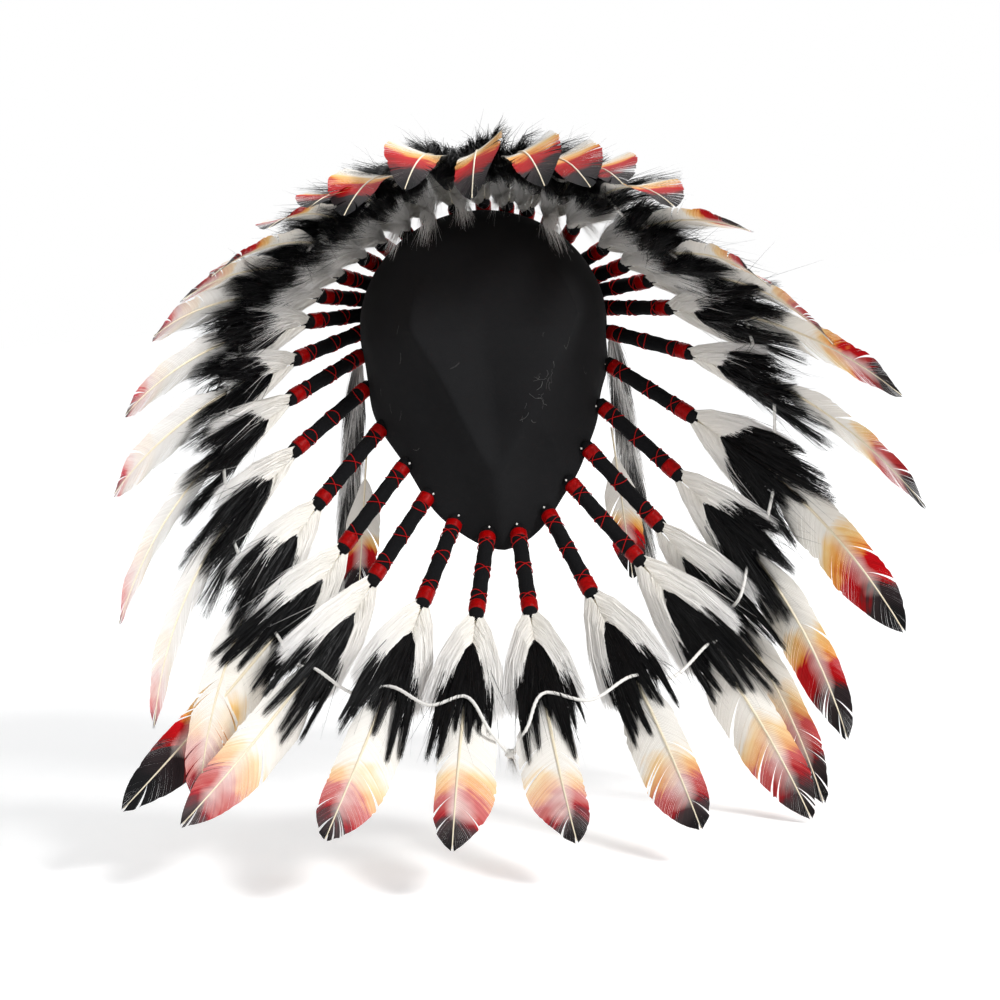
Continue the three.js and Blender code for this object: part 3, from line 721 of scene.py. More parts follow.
# A rounded arch of black hair that comes out between the white legs and ends in ragged spikes
def blackTuft(bulk, shaggy, standing, rng):
    count, clumps = fur["blackHairs"], black["clumps"]
    spread = rng.uniform(-1, 1, count)
    widths, under = hairWidths(count, rng)
    root = black["top"] + rng.random(count) ** 1.3 * (black["low"] - black["top"])
    root = root + np.abs(spread) ** 3 * 0.007
    height = (black["rise"] - 0.004 * spread**2) * bulk
    start = np.stack([root, spread * black["rootWide"] * bulk, height], -1)
    lengths = rng.uniform(0.0, 1.0, clumps) ** 1.4 * 1.3 + 0.15 * standing
    shifts = rng.normal(0, 0.12 + 0.14 * shaggy, clumps)
    places = (spread + rng.normal(0, 0.09, count) + 1) / 2
    groups = np.clip(np.floor(places * clumps), 0, clumps - 1).astype(int)
    endS = black["endLow"] + black["endLong"] * lengths[groups] + rng.normal(0, black["endScatter"], count)
    wide = black["wide"] * (1 + 0.5 * shaggy + 0.25 * standing) * (0.8 + 0.4 * lengths[groups])
    endN = rng.normal(0.002, 0.003 + 0.005 * shaggy, count) - 0.004 * np.abs(spread)
    end = np.stack([endS, (spread + shifts[groups]) * wide * bulk, endN * bulk], -1)
    end = clumped(end, groups, black["pull"], rng)
    middle = root + (endS - root) * 0.4
    lift = (black["lift"] + black["cover"] * shaggy) * (1 - 0.75 * np.abs(spread)) * bulk
    bulge = spread * black["bulge"] * (1 + 0.3 * shaggy) * bulk
    bend = np.stack([middle, bulge, lift - np.where(under, black["sunk"], 0)], -1)
    # over the brow the fur stands up on the outer side of the feather too
    behind = rng.random(count) < black["outer"] * standing
    for points, rise in ((start, 0), (bend, black["bendRise"]), (end, black["endRise"])):
        points[behind, 2] = -points[behind, 2] - rise * rng.uniform(0.2, 1.2, behind.sum())
    loose = (rng.random(count) < 0.10 + 0.06 * shaggy) & ~under
    end[loose] += rng.normal(0, black["stray"] + 0.003 * shaggy - 0.004 * standing, (loose.sum(), 3))
    end[:, 0] = np.maximum(end[:, 0], root + fur["leastLength"])
    return growHairs(start, bend, end, widths, rng.random(count), rng)


# Hair hangs: its ends sink, most on the feathers that stand up over the brow
def hang(points, paint, standing, most):
    sink = (0.003 + most * standing) * (0.1 + 1.3 * paint[:, 1] ** 2) * paint[:, 0] ** 1.6
    return points - np.stack([0 * sink, 0 * sink, sink], -1)


# Vane: one barb is a narrow strip; the vane is many barbs side by side, with splits between bundles.
def modelBarb():
    clearSelection()
    bpy.ops.mesh.primitive_grid_add(x_subdivisions=1, y_subdivisions=plume["barbSteps"], size=1)
    points, faces = takeMesh(bpy.context.object)
    return points[:, 1] + 0.5, np.sign(points[:, 0]), faces


barbAlong, barbEdge, barbFaces = modelBarb()


# Outline of one side of the vane: the leading side stays wide to the end, the trailing one slants in
def vaneWidth(share, full, sign):
    grow = plume["rootWidth"] + (1 - plume["rootWidth"]) * smooth(share / plume["fullFrom"])
    start, power = plume["leadClose"] if sign > 0 else plume["trailClose"]
    close = np.clip(1 - (np.maximum(share - start, 0) / (1 - start)) ** power, 0, 1) ** 0.8
    return full * grow * np.maximum(close, 0.05)


def vaneSide(sign, full, length, row, rng):
    count = plume["barbs"]
    q = (np.arange(count) + 0.5) / count
    sweep = plume["barbSweep"] * (0.55 + 0.45 * smooth(q / 0.2))
    rootAt = q * (length - plume["tipRoom"])
    tipAt = np.minimum(rootAt + sweep * (1 - 0.4 * q), length)
    reach = vaneWidth(tipAt / length, full, sign)
    # bundles: barbs cling together, and between two bundles the vane is split
    splits = rng.choice(np.arange(count // 3, count - 4), rng.integers(*plume["splits"]), replace=False)
    splits = np.sort(splits)
    bundle = np.searchsorted(splits, np.arange(count), side="right")
    drift = np.zeros(count)
    for b in range(bundle.max() + 1):
        members = np.where(bundle == b)[0]
        if len(members) > 1:
            opened = rng.uniform(*plume["splitOpen"]) * (1 - 0.6 * q[members[0]])
            share = np.linspace(1, 0, len(members)) ** 3
            drift[members] = opened * share - 0.3 * opened * share[::-1]
        reach[members] *= rng.uniform(0.95, 1.02)
    worn = rng.random(count) < plume["worn"]
    reach *= np.where(worn, rng.uniform(0.88, 0.97, count), rng.uniform(0.985, 1.01, count))
    tone = np.clip(rng.normal(0.5, 0.22, count), 0, 1)
    # a barb's two edges: shared with its neighbour inside a bundle, its own at a split
    spacing = (length - plume["tipRoom"]) / count
    edges = []
    for values, spread in ((rootAt, spacing), (tipAt, spacing), (reach, 0), (drift, 0)):
        low, high = values - spread / 2, values + spread / 2
        same = bundle[1:] == bundle[:-1]
        middle = (values[1:] + values[:-1]) / 2
        low[1:] = np.where(same, middle, low[1:])
        high[:-1] = np.where(same, middle, high[:-1])
        edges.append(np.where(barbEdge[None] > 0, high[:, None], low[:, None]))
    rootEdge, tipEdge, reachEdge, driftEdge = edges
    u = barbAlong[None]
    s = rootEdge + (tipEdge - rootEdge) * u**1.25 + driftEdge * u**2.2
    t = sign * reachEdge * (1 - (1 - u) ** 1.15)
    wave = plume["wave"] * np.sin(rootAt[:, None] * 140 + row["turn"]) * u
    lift = -plume["camber"] * (np.abs(t) / full) ** 2 + wave + rng.normal(0, 0.00006, count)[:, None] * u
    points = np.stack([plume["sleeve"] + plume["vaneFrom"] + s, t, lift], -1).reshape(-1, 3)
    step = len(barbAlong)
    faces = copyFaces(barbFaces, step, count)
    if sign < 0:
        faces = [f[::-1] for f in faces]
    paint = np.ones((count, step, 4))
    paint[..., 0] = tone[:, None]
    paint[..., 1] = row["dye"]
    paint[..., 2] = (barbEdge[None] + 1) / 2
    dyedAt = 0.6 * s + 0.4 * (rootAt[:, None] + 0.012) + plume["vaneFrom"] - plume["colourFrom"]
    visible = dyedAt / (length + plume["vaneFrom"] - plume["colourFrom"])
    uv = np.stack([t / full, visible - row["shift"]], -1).reshape(-1, 2)
    return points, faces, paint.reshape(-1, 4), uv


# A straight tube of radius 1 from z 0 to 1, cut into rings
def modelTube(sides, rings):
    clearSelection()
    middle = (0, 0, 0.5)
    bpy.ops.mesh.primitive_cylinder_add(
        vertices=sides, radius=1, depth=1, location=middle, end_fill_type="TRIFAN")
    tube = bpy.context.object
    bpy.ops.object.transform_apply(location=True)
    bpy.ops.object.mode_set(mode="EDIT")
    for k in range(1, rings):
        bpy.ops.mesh.select_all(action="SELECT")
        bpy.ops.mesh.bisect(plane_co=(0, 0, k / rings), plane_no=(0, 0, 1))
    bpy.ops.object.mode_set(mode="OBJECT")
    return takeMesh(tube)


sleeveTube = modelTube(16, 28)
bandTube = modelTube(18, 8)
quillTube = modelTube(6, 14)


# A tube round the feather's own line, with a radius for each share and angle
def ringTube(tube, fromS, toS, radiusOf):
    points, faces = tube
    angle = np.arctan2(points[:, 1], points[:, 0])
    share = points[:, 2]
    middle = np.hypot(points[:, 0], points[:, 1])
    radius = radiusOf(share, angle) * middle
    placed = np.stack([fromS + (toS - fromS) * share, radius * np.cos(angle), radius * np.sin(angle)], -1)
    return placed, faces


def sleeveRadius(share, angle):
    wrap = 0.00018 * np.sin(share * 46 + angle) + 0.00012 * np.sin(share * 19 + 2 * angle)
    ends = np.sqrt(np.clip(1 - (np.abs(share - 0.5) * 2) ** 24, 0.04, 1))
    return (plume["sleeveRadius"] + wrap) * ends


def quillRadius(share, angle):
    return plume["quill"] * (1 - 0.8 * share) * (1 - 0.25 * np.abs(np.sin(angle)))


def stitchRadius(share, angle):
    return plume["stitch"] * np.sin(math.pi * np.clip(share, 0.05, 0.95))


def bandRadius(share, angle):
    crinkle = 0.00014 * np.sin(share * 22 + 3 * angle) + 0.0001 * np.sin(5 * angle)
    ends = np.sqrt(np.clip(1 - (np.abs(share - 0.5) * 2) ** 10, 0.0, 1))
    return plume["sleeveRadius"] - 0.0006 + (0.0011 + crinkle) * ends


sleeveBands = {
    "inner": (0.0025, 0.0105),
    "outer": (0.0660, 0.0765),
    "crossings": (0.014, 0.038, 0.0625),
    "sway": 0.0035,  # how far a turn of thread wanders along the sleeve
    "thread": 0.00036,
    "ring": 0.06,  # thickness of the modelled ring, whose radius is 1
}


def modelRing():
    clearSelection()
    thick = sleeveBands["ring"]
    bpy.ops.mesh.primitive_torus_add(major_segments=32, minor_segments=5, major_radius=1, minor_radius=thick)
    return takeMesh(bpy.context.object)


ringPoints, ringFaces = modelRing()


# One turn of thread that wanders along the sleeve; two of them cross as an X
def crossedThread(at, sway, phase):
    angle = np.arctan2(ringPoints[:, 1], ringPoints[:, 0])
    around = (np.hypot(ringPoints[:, 0], ringPoints[:, 1]) - 1) / sleeveBands["ring"] * sleeveBands["thread"]
    up = ringPoints[:, 2] / sleeveBands["ring"] * sleeveBands["thread"]
    radius = plume["sleeveRadius"] + 0.0003 + around
    s = at + sway * np.cos(angle + phase) + up
    return np.stack([s, radius * np.cos(angle), radius * np.sin(angle)], -1), ringFaces


def featherParts(feather, seed):
    rng = np.random.default_rng(seed)
    row = feather["row"]
    length = plume["length"] * row["reach"] - plume["vaneFrom"]
    slot = {name: i for i, name in enumerate(featherSlots)}
    parts = []

    def add(points, faces, name, paint=(0.5, 0.5, 0.5, 1), uv=(0, 0)):
        parts.append({"points": points, "faces": faces, "slot": slot[name], "paint": paint, "uv": uv})

    for sign, full in ((1, plume["lead"]), (-1, plume["trail"])):
        points, faces, paint, uv = vaneSide(sign, full, length, row, rng)
        add(points, faces, "vane", paint, uv)
    end = plume["sleeve"] + plume["length"] * row["reach"] - 0.002
    add(*ringTube(quillTube, plume["sleeve"] - plume["quillIn"], end, quillRadius), "quill")
    add(*ringTube(sleeveTube, -0.004, plume["sleeve"], sleeveRadius), "felt")
    for name in ("inner", "outer"):
        low, high = (v + rng.normal(0, 0.0006) for v in sleeveBands[name])
        add(*ringTube(bandTube, low, high, bandRadius), "ribbon")
    phase = rng.normal(0, 0.5)
    for at in sleeveBands["crossings"]:
        place = at + rng.normal(0, 0.0015)
        for sway in (sleeveBands["sway"], -sleeveBands["sway"]):
            add(*crossedThread(place, sway, phase + rng.normal(0, 0.2)), "thread")
    stitch = ringTube(quillTube, -0.0008, 0.0012, stitchRadius)
    add(stitch[0] + np.array([0, 0, plume["sleeveRadius"] + 0.0002]), stitch[1], "stitch")
    shaggy = float(smooth((row["turn"] - plume["shaggyFrom"]) / plume["shaggyOver"]))
    standing = float(smooth((row["turn"] - plume["standingFrom"]) / plume["standingOver"]))
    offset = np.array([plume["sleeve"], 0, 0])
    tufts = {
        "whiteFur": whiteTuft(row["bulk"], standing, rng),
        "blackFur": blackTuft(row["bulk"], shaggy, standing, rng),
    }
    for name, (points, faces, paint) in tufts.items():
        add(points + offset, faces, name, paint)
    line = feather["line"]
    sinks = {slot["whiteFur"]: rng.uniform(*fur["whiteSink"]), slot["blackFur"]: fur["blackSink"]}
    for part in parts:
        p = part["points"]
        part["points"] = placeOn(line, p[:, 0], p[:, 1], p[:, 2])
        if part["slot"] in sinks:
            part["points"] = hang(part["points"], part["paint"], standing, sinks[part["slot"]])
    if line["side"] < 0:
        for part in parts:
            part["faces"] = [f[::-1] for f in part["faces"]]
    return parts


featherMaterials = [materials[name] for name in featherSlots]
for index, feather in enumerate(feathers):
    name = feather["node"].replace("feather_", "plume_")
    buildPiece(name, featherParts(feather, 100 + index), featherMaterials, feather["node"])
print("feathers ready")

# Lacing cord over the black tufts, tied at the nape
lacing = {
    "tuftStart": 0.040,
    "tuftLength": 0.056,
    "tuftAlong": 0.6,
    "tuftThickness": 0.013,
    "radius": 0.0011,  # of the solid
    "thick": 0.0013,  # radius of the twisted cord, over its strands
    "pitch": 0.0055,
    "step": 0.0013,
    "sag": 0.13,  # share of the way between two feathers
    "ahead": 0.011,  # how far it passes in front of the first feathers
    "aheadUntil": 75,  # turn of the feather from which it doesn't
    "sunk": 0.0035,
    "sunkFrom": 34,
    "knotDrop": 0.037,
    "knotRadius": 0.0034,
    "knotLoops": ((0.2, 1.0), (1.1, 0.9), (2.0, 0.95)),  # tilt in radians, size
    "tassel": 0.020,
    "tasselHairs": 260,
    "tasselHairWidth": 0.0004,
    "tasselScatter": 0.0022,
    "tasselDown": (0.05, -0.25, -1.0),
}


def lacingRoute():
    ordered = feathers[:len(leftFeathers)] + feathers[len(leftFeathers):][::-1]
    at = plume["sleeve"] + lacing["tuftStart"] + lacing["tuftLength"] * lacing["tuftAlong"]
    seats = []
    for feather in ordered:
        row = feather["row"]
        sunk = lacing["sunk"] * float(smooth((row["turn"] - lacing["sunkFrom"]) / 20))
        over = lacing["tuftThickness"] * row["bulk"] / 2 + plume["gap"] + lacing["radius"] - sunk
        seats.append(placeOn(feather["line"], at, 0, over))
    knot = (seats[0] + seats[-1]) / 2
    knot[2] -= lacing["knotDrop"]
    knot[1] -= lacing["ahead"]
    apart = np.array([lacing["radius"] + plume["gap"], 0, 0])
    ahead = np.array([0, lacing["ahead"], 0])
    route = [knot - apart, (knot + seats[0]) / 2 - ahead]
    for i, seat in enumerate(seats):
        if i:
            middle = (seats[i - 1] + seat) / 2
            middle[2] -= lacing["sag"] * np.linalg.norm(seats[i - 1] - seat)
            beforeEnd = lacing["aheadUntil"] - ordered[i]["row"]["turn"]
            middle[1] -= lacing["ahead"] * float(smooth(beforeEnd / 30))
            route.append(middle)
        route.append(seat)
    route.extend([(knot + seats[-1]) / 2 - ahead, knot + apart])
    return np.array(route), knot


def runAlong(points):
    return np.concatenate([[0], np.cumsum(np.linalg.norm(np.diff(points, axis=0), axis=1))])


# Points a step apart on a smooth curve through the route
def smoothRoute(route, step):
    padded = np.vstack([2 * route[0] - route[1], route, 2 * route[-1] - route[-2]])
    points = []
    for a, b, c, d in zip(padded, padded[1:], padded[2:], padded[3:]):
        u = np.linspace(0, 1, 40, endpoint=False)[:, None]
        curve = 2 * b + (c - a) * u + (2 * a - 5 * b + 4 * c - d) * u**2 + (3 * b - a - 3 * c + d) * u**3
        points.append(0.5 * curve)
    points = np.vstack([*points, route[-1:]])
    lengths = runAlong(points)
    even = np.linspace(0, lengths[-1], max(3, round(lengths[-1] / step)))
    return np.stack([np.interp(even, lengths, points[:, k]) for k in range(3)], -1)


twist = {"strands": 3, "sides": 9, "core": 0.86, "lobe": 0.16}  # core and lobe are shares of the radius


# A cord laid from strands: a lobed section that turns as it goes along
def twistedCord(path, radius, pitch):
    sides, rings = twist["sides"], len(path)
    tangent = np.gradient(path, axis=0)
    tangent /= np.linalg.norm(tangent, axis=1)[:, None]
    normal = np.cross(tangent, [0.3, -1.0, 0.2])
    normal /= np.linalg.norm(normal, axis=1)[:, None]
    other = np.cross(tangent, normal)
    angle = np.linspace(0, 2 * math.pi, sides, endpoint=False)
    turned = angle[None] - 2 * math.pi * runAlong(path)[:, None] / pitch
    lobes = radius * (twist["core"] + twist["lobe"] * np.cos(twist["strands"] * turned))
    circle = np.cos(angle)[None, :, None] * normal[:, None] + np.sin(angle)[None, :, None] * other[:, None]
    points = path[:, None] + lobes[..., None] * circle
    faces = []
    for r in range(rings - 1):
        for k in range(sides):
            j = (k + 1) % sides
            faces.append((r * sides + k, r * sides + j, (r + 1) * sides + j, (r + 1) * sides + k))
    faces.append(tuple(range(sides))[::-1])
    faces.append(tuple(range((rings - 1) * sides, rings * sides)))
    return points.reshape(-1, 3), faces


def lacingPiece():
    route, knot = lacingRoute()
    parts = []
    points, faces = twistedCord(smoothRoute(route, lacing["step"]), lacing["thick"], lacing["pitch"])
    parts.append({"points": points, "faces": faces, "slot": 0})
    angle = np.linspace(0, 2 * math.pi, 60)
    for tilt, size in lacing["knotLoops"]:
        level = np.cos(angle)
        loop = np.stack([level * math.cos(tilt), np.sin(angle) * 0.8, level * math.sin(tilt)], -1)
        loop = knot + loop * lacing["knotRadius"] * 0.8 * size
        points, faces = twistedCord(loop, lacing["thick"], lacing["pitch"])
        parts.append({"points": points, "faces": faces, "slot": 0})
    # the ends of the cord, frayed into a tassel
    rng = np.random.default_rng(7)
    count = lacing["tasselHairs"]
    start = knot + rng.normal(0, 0.0006, (count, 3))
    fan = rng.normal(0, lacing["tasselScatter"], (count, 3)) * [1.2, 0.8, 0.3]
    reach = rng.uniform(0.6, 1.12, count)[:, None] * (lacing["tassel"] + lacing["knotRadius"] / 2)
    end = knot + np.array(lacing["tasselDown"]) * reach + fan
    bend = (start + end) / 2 + fan * 0.5
    widths = np.full(count, lacing["tasselHairWidth"])
    points, faces, paint = growHairs(start, bend, end, widths, rng.random(count), rng)
    parts.append({"points": points, "faces": faces, "slot": 1, "paint": paint})
    buildPiece("lacing", parts, [materials["cord"], materials["whiteFur"]], "lacing_cord")


lacingPiece()
print("lacing ready")


# Cap: a ball opened at the bottom, drawn down over the cap's form, then given the cloth's thickness
def depthAt(share, bottom):
    high = cap["crownHeight"]
    arcOf = np.where(
        bottom < high, np.arccos(np.clip(1 - bottom / high, -1, 1)), math.pi / 2 + bottom / high - 1,
    )
    arc = share * arcOf
    return np.where(arc < math.pi / 2, high * (1 - np.cos(arc)), high * (1 + arc - math.pi / 2))


# The slack cloth at the back is pushed in between two creases, which meet and run on to the nape
folds = {
    "topDepth": 0.044,
    "creaseDepth": 0.080,
    "tipDepth": 0.186,
    "leftTurn": 25,
    "rightTurn": 36,
    "height": 0.0105,
    "inward": 0.0045,
    "fall": 15,  # turn over which a crease runs out
    "sag": 0.0024,  # a smaller fold low on the right
    "sagTurn": 19,
    "sagWide": 3.5,
    "slack": 0.0011,
    "ripple": 0.0006,
    "rim": 0.0010,
}


def kiteHalf(turn, depth):
    closing = np.clip((depth - folds["creaseDepth"]) / (folds["tipDepth"] - folds["creaseDepth"]), 0, 1)
    widest = np.where(np.sin(np.radians(turn)) > 0, folds["rightTurn"], folds["leftTurn"])
    return widest * (1 - closing**0.9), closing


def clothFolds(turn, depth):
    opening, side = foldShape(turn, depth)
    framed = cap["foldHeight"] * opening * np.clip(1 - side, 0, 1)
    away = fromNape(turn)
    half, closing = kiteHalf(turn, depth)
    opened = np.clip((depth - folds["topDepth"]) / (folds["creaseDepth"] - folds["topDepth"]), 0, 1)
    inside = np.clip(away / np.maximum(half, 0.5), 0, 1)
    beyond = np.clip((away - half) / folds["fall"], 0, 1)
    hollow = (1 - inside) * (1 - closing**2)
    raised = folds["height"] * opened**0.7 * np.where(away < half, 1 - hollow, (1 - beyond) ** 1.7)
    pushed = -folds["inward"] * opened * (1 - closing) * (1 - inside**0.75)
    sagAt = folds["sagTurn"] + 9 * smooth((depth - 0.15) / 0.03)
    within = smooth((depth - 0.14) / 0.015) * (1 - smooth((depth - 0.19) / 0.02))
    sag = folds["sag"] * np.exp(-np.abs((turn - sagAt) / folds["sagWide"]) ** 1.3) * within
    edge = smooth((depth - 0.05) / 0.05)
    slack = folds["slack"] * np.sin(np.radians(turn * 4.3) + depth * 45)
    slack = slack + folds["ripple"] * np.sin(np.radians(turn * 9) - depth * 90)
    rim = folds["rim"] * np.sin(np.radians(turn * 9)) * smooth((depth - hemDepth(turn) + 0.03) / 0.03)
    return raised + pushed - framed + sag + slack * edge + rim


# Gives cloth its thickness, inwards from the outer face
def thicken(piece, thickness):
    clearSelection()
    piece.select_set(True)
    bpy.context.view_layer.objects.active = piece
    wall = piece.modifiers.new("wall", "SOLIDIFY")
    wall.thickness = thickness
    wall.offset = -1
    bpy.ops.object.modifier_apply(modifier="wall")


def capPiece():
    clearSelection()
    bpy.ops.mesh.primitive_uv_sphere_add(segments=cap["columns"], ring_count=cap["rows"], radius=1)
    ball = bpy.context.object
    bpy.ops.object.mode_set(mode="EDIT")
    bpy.ops.mesh.select_all(action="DESELECT")
    bpy.ops.mesh.select_mode(type="VERT")
    bpy.ops.object.mode_set(mode="OBJECT")
    for vertex in ball.data.vertices:
        vertex.select = vertex.co.z < -0.99999
    bpy.ops.object.mode_set(mode="EDIT")
    bpy.ops.mesh.delete(type="VERT")
    bpy.ops.object.mode_set(mode="OBJECT")
    points, faces = takeMesh(ball)
    turn = np.degrees(np.arctan2(points[:, 0], -points[:, 1]))
    share = np.arccos(np.clip(points[:, 2], -1, 1)) / (math.pi * (cap["rows"] - 1) / cap["rows"])
    depth = depthAt(share, hemDepth(turn))
    placed = capPoint(turn, np.maximum(depth, 1e-6), 0.0, clothFolds(turn, depth) * smooth(depth / 0.02))
    placed[share < 1e-6] = (0, 0, cap["wall"])
    parts = [{"points": placed, "faces": faces, "slot": 0}]
    thicken(buildPiece("capCloth", parts, [materials["capCloth"]], "cap_crown"), cap["wall"])


lint = {
    "onCrease": 22,
    "spread": 10,
    "creaseDepth": (0.125, 0.016),  # middle and scatter
    "depths": (0.06, 0.19),
    "turns": (-60, 60),
    "length": (0.003, 0.009),
    "width": (0.00008, 0.00016),
    "above": 0.0003,
}


# Pale fibres that cling to the cloth, most of them along the right crease
def lintPiece():
    rng = np.random.default_rng(11)
    onCrease, spread = lint["onCrease"], lint["spread"]
    depth = [rng.normal(*lint["creaseDepth"], onCrease), rng.uniform(*lint["depths"], spread)]
    depth = np.concatenate(depth)
    turn = np.concatenate([np.ones(onCrease), rng.uniform(*lint["turns"], spread)])
    turn[:onCrease] = kiteHalf(turn[:onCrease], depth[:onCrease])[0] + rng.normal(0, 2.2, onCrease)
    strands = []
    for a, d in zip(turn, depth):
        u = hairPoints[:, 1]
        way = rng.normal(1.9, 0.6) + rng.normal(0, 0.9) * u
        long, wide = rng.uniform(*lint["length"]), rng.uniform(*lint["width"])
        edge = hairPoints[:, 0] * wide
        turns = a + np.degrees((np.cos(way) * u * long - edge * np.sin(way)) / cap["halfWidth"])
        depths = d + np.sin(way) * u * long + edge * np.cos(way)
        strands.append(capPoint(turns, depths, 0.0, clothFolds(turns, depths) + lint["above"]))
    faces = copyFaces(hairFaces, len(hairPoints), len(turn))
    parts = [{"points": np.concatenate(strands), "faces": faces, "slot": 0}]
    buildPiece("capLint", parts, [materials["lint"]], None)


capPiece()
lintPiece()
print("cap ready")

# Brow band: a padded strip round the front, with a sunk line along both edges
band = {
    "wall": 0.0026,
    "cloth": 0.0020,
    "above": 0.011,
    "below": 0.015,
    "puff": 0.0012,
    "groove": 0.0007,
    "grooveAt": 0.8,  # from the middle to the edge
    "grooveWide": 0.06,
    "startTurn": 101,
    "columns": 120,
    "rows": 12,
}


def bandPiece():
    clearSelection()
    bpy.ops.mesh.primitive_grid_add(x_subdivisions=band["columns"], y_subdivisions=band["rows"], size=1)
    points, faces = takeMesh(bpy.context.object)
    turn = band["startTurn"] + (points[:, 0] + 0.5) * (360 - 2 * band["startTurn"])
    fall = 0.5 - points[:, 1]
    depth = seamDepth(turn) - band["above"] + fall * (band["above"] + band["below"])
    fromMiddle = 2 * fall - 1
    groove = np.exp(-(((np.abs(fromMiddle) - band["grooveAt"]) / band["grooveWide"]) ** 2))
    puff = band["puff"] * (1 - fromMiddle**6) - band["groove"] * groove
    outer = capPoint(turn, np.maximum(depth, 0.001), plume["gap"] + band["wall"] - band["puff"] + puff)
    parts = [{"points": outer, "faces": faces, "slot": 0}]
    piece = buildPiece("browBand", parts, [materials["capCloth"]], "brow_band")
    clearSelection()
    piece.select_set(True)
    bpy.context.view_layer.objects.active = piece
    bpy.ops.object.mode_set(mode="EDIT")
    bpy.ops.mesh.select_all(action="SELECT")
    bpy.ops.mesh.normals_make_consistent(inside=False)
    bpy.ops.object.mode_set(mode="OBJECT")
    thicken(piece, band["cloth"])


bandPiece()
print("brow band ready")

# Drops at the temples. Distances run down from the strip's top.
drop = {
    "turn": 103,
    "belowSeam": 0.013,
    "lean": {"left": 9, "right": 3},
    "length": 0.200,
    "radius": 0.0085,
    "topThick": 0.5,
    "hairs": 2600,
    "hairLength": (0.030, 0.060),
    "hairWidth": 0.0005,
    "hairCore": 0.0015,  # the roots' distance from the strip's middle
    "hairBulge": (0.6, 1.1),
    "lockLength": 0.012,
    "lockSway": 0.004,
    "featherTop": 0.072,
    "featherLength": 0.118,
    "featherWidth": 0.026,
    "featherInset": 0.011,
    "vaneShare": 0.8,  # of the feather's length
    "vaneAt": 0.18,
    "camberShare": 0.3,
    "quill": 0.0009,
    "cordTop": 0.006,
    "cordLength": 0.112,
    "cordRadius": 0.0015,
    "cordPitch": 0.006,
    "cordSteps": 110,
    "cordSway": 0.0006,
}


# Fur strip: long hairs in overlapping locks, grey and white with black ends
def dropFur(word, at, rng):
    count = drop["hairs"]
    root = rng.uniform(0, 0.80, count) * drop["length"]
    angle = rng.uniform(0, 2 * math.pi, count)
    lengths = rng.uniform(*drop["hairLength"], count)
    endAt = np.minimum(root + lengths, drop["length"] * rng.uniform(0.9, 1.0, count))
    lock = np.floor(root / drop["lockLength"] + angle).astype(int)
    sway = drop["lockSway"] * np.sin(lock * 2.4)
    start = np.stack([root, drop["hairCore"] * np.cos(angle), drop["hairCore"] * np.sin(angle)], -1)
    bulge = drop["radius"] * rng.uniform(*drop["hairBulge"], count)
    bend = np.stack([root * 0.6 + endAt * 0.4, bulge * np.cos(angle), bulge * np.sin(angle)], -1)
    end = np.stack([endAt, bulge * 0.8 * np.cos(angle) + sway, bulge * 0.8 * np.sin(angle)], -1)
    tone = np.clip(0.5 + 0.5 * np.sin(lock * 1.7) + rng.normal(0, 0.15, count), 0, 1)
    widths = np.full(count, drop["hairWidth"])
    points, faces, paint = growHairs(start, bend, end, widths, tone, rng)
    paint[:, 0] = np.clip(smooth((paint[:, 1] - 0.3) / 0.4) * (0.45 + 0.9 * paint[:, 0]), 0, 1)
    points = at(points[:, 0], points[:, 1], points[:, 2])
    parts = [{"points": points, "faces": faces, "slot": 0, "paint": paint}]
    buildPiece(f"dropFur_{word}", parts, [materials["greyFur"]], f"drop_fur_{word}")


def dropQuillRadius(share, angle):
    return drop["quill"] * (1 - 0.7 * share)


# Hanging feather: the same barbs on a straight line
def dropFeather(word, at, rng):
    behind = drop["radius"] + plume["gap"] + 0.0007
    row = {"turn": 10, "dye": 1, "shift": -0.12}
    parts = []
    for sign in (1, -1):
        points, faces, paint, uv = vaneSide(
            sign, drop["featherWidth"] / 2, drop["featherLength"] * drop["vaneShare"], row, rng)
        points[:, 0] += drop["featherTop"] + drop["featherLength"] * drop["vaneAt"]
        points[:, 0] -= plume["sleeve"] + plume["vaneFrom"]
        curved = behind + points[:, 2] * drop["camberShare"]
        points = at(points[:, 0], points[:, 1] - drop["featherInset"], curved)
        parts.append({"points": points, "faces": faces, "slot": 0, "paint": paint, "uv": uv})
    low = drop["featherTop"] + drop["featherLength"] - 0.002
    points, faces = ringTube(quillTube, drop["featherTop"], low, dropQuillRadius)
    points = at(points[:, 0], points[:, 1] - drop["featherInset"], behind + points[:, 2])
    parts.append({"points": points, "faces": faces, "slot": 1})
    finishes = [materials["vane"], materials["quill"]]
    buildPiece(f"dropFeather_{word}", parts, finishes, f"drop_feather_{word}")


# Red cord down the front of the strip
def dropCord(word, at):
    ahead = -(drop["radius"] * 0.8 + drop["cordRadius"])
    run = np.linspace(0, 1, drop["cordSteps"])
    sway = drop["cordSway"] * np.sin(run * 17)
    path = at(drop["cordTop"] + run * drop["cordLength"], sway, np.full(len(run), ahead))
    points, faces = twistedCord(path, drop["cordRadius"] * 0.95, drop["cordPitch"])
    parts = [{"points": points, "faces": faces, "slot": 0}]
    buildPiece(f"dropCord_{word}", parts, [materials["thread"]], f"drop_cord_{word}")


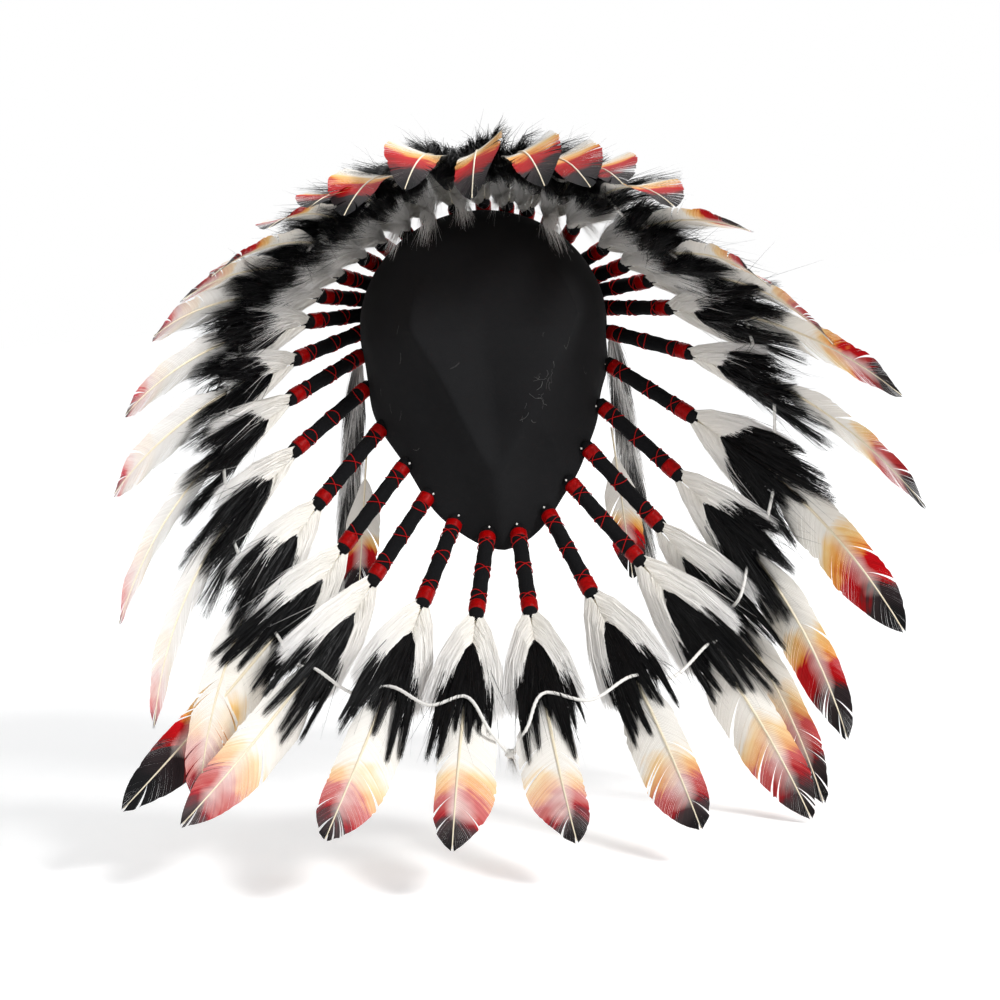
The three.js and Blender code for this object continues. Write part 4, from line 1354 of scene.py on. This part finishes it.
def dropPieces(word, side):
    rng = np.random.default_rng(31 + side)
    lean = math.radians(drop["lean"][word])
    down = np.array([side * math.sin(lean), 0, -math.cos(lean)])
    standOff = band["wall"] + plume["gap"] + drop["radius"] * drop["topThick"]
    top = capPoint(np.array(side * drop["turn"]), seamDepth(drop["turn"]) + drop["belowSeam"], standOff)
    across, back = np.array([side, 0, 0]), np.array([0, -1.0, 0])

    def at(distance, sideways, behind):
        distance, sideways, behind = (np.asarray(v, float)[..., None] for v in (distance, sideways, behind))
        return top + down * distance + across * sideways + back * behind

    dropFur(word, at, rng)
    dropFeather(word, at, rng)
    dropCord(word, at)


for word, side in (("left", -1), ("right", 1)):
    dropPieces(word, side)
print("drops ready")


# Floor and light
studio = {
    "floorGap": 0.001,
    "floorGlow": (0.24, 0.62),  # near and far
    "glowFrom": (0.7, 2.6),  # distances of near and far
    "ambient": 0.50,
    "aimedAt": (0, 0, -0.2),
    "lights": (  # name, place, size, watts
        ("key", (1.75, -1.5, 1.3), 0.6, 58),
        ("fill", (-1.6, -1.6, 0.5), 1.8, 6),
        ("back", (0.2, 1.6, 1.5), 1.6, 18),
    ),
}


# The floor glows more the further it is from the headdress, as a lit studio floor does
def addFloor():
    clearSelection()
    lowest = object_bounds()[0][2] - studio["floorGap"]
    bpy.ops.mesh.primitive_plane_add(size=40, location=(0, 0, lowest))
    floor = bpy.context.object
    floor.name = "floor"
    material, nodes, links, shader = newMaterial("floor")
    shader.inputs["Base Color"].default_value = (0.92, 0.92, 0.92, 1)
    shader.inputs["Roughness"].default_value = 0.9
    shader.inputs["Emission Color"].default_value = (1, 1, 1, 1)
    coordinates = nodes.new("ShaderNodeTexCoord")
    away = nodes.new("ShaderNodeVectorMath")
    away.operation = "LENGTH"
    links.new(coordinates.outputs["Object"], away.inputs[0])
    glow = nodes.new("ShaderNodeMapRange")
    for socket, value in zip(glow.inputs[1:5], (*studio["glowFrom"], *studio["floorGlow"])):
        socket.default_value = value
    links.new(away.outputs["Value"], glow.inputs[0])
    links.new(glow.outputs[0], shader.inputs["Emission Strength"])
    floor.data.materials.append(material)


# Soft light from all round, and plain white where the camera sees past the floor
def addWorld():
    world = bpy.data.worlds.new("studio")
    world.use_nodes = True
    nodes, links = world.node_tree.nodes, world.node_tree.links
    soft = nodes["Background"]
    soft.inputs[0].default_value = (0.98, 0.99, 1, 1)
    soft.inputs[1].default_value = studio["ambient"]
    backdrop = nodes.new("ShaderNodeBackground")
    backdrop.inputs[0].default_value = (1, 1, 1, 1)
    path, mix = nodes.new("ShaderNodeLightPath"), nodes.new("ShaderNodeMixShader")
    links.new(path.outputs["Is Camera Ray"], mix.inputs[0])
    links.new(soft.outputs[0], mix.inputs[1])
    links.new(backdrop.outputs[0], mix.inputs[2])
    links.new(mix.outputs[0], nodes["World Output"].inputs[0])
    bpy.context.scene.world = world
    bpy.context.scene.view_settings.view_transform = "Standard"


def addLights():
    for name, place, size, power in studio["lights"]:
        data = bpy.data.lights.new(name, "AREA")
        data.size = size
        data.energy = power
        light = bpy.data.objects.new(name, data)
        light.location = place
        towards = Vector(studio["aimedAt"]) - Vector(place)
        light.rotation_euler = towards.to_track_quat("-Z", "Y").to_euler()
        bpy.context.scene.collection.objects.link(light)


addFloor()
addWorld()
addLights()
print("stage and lights ready")
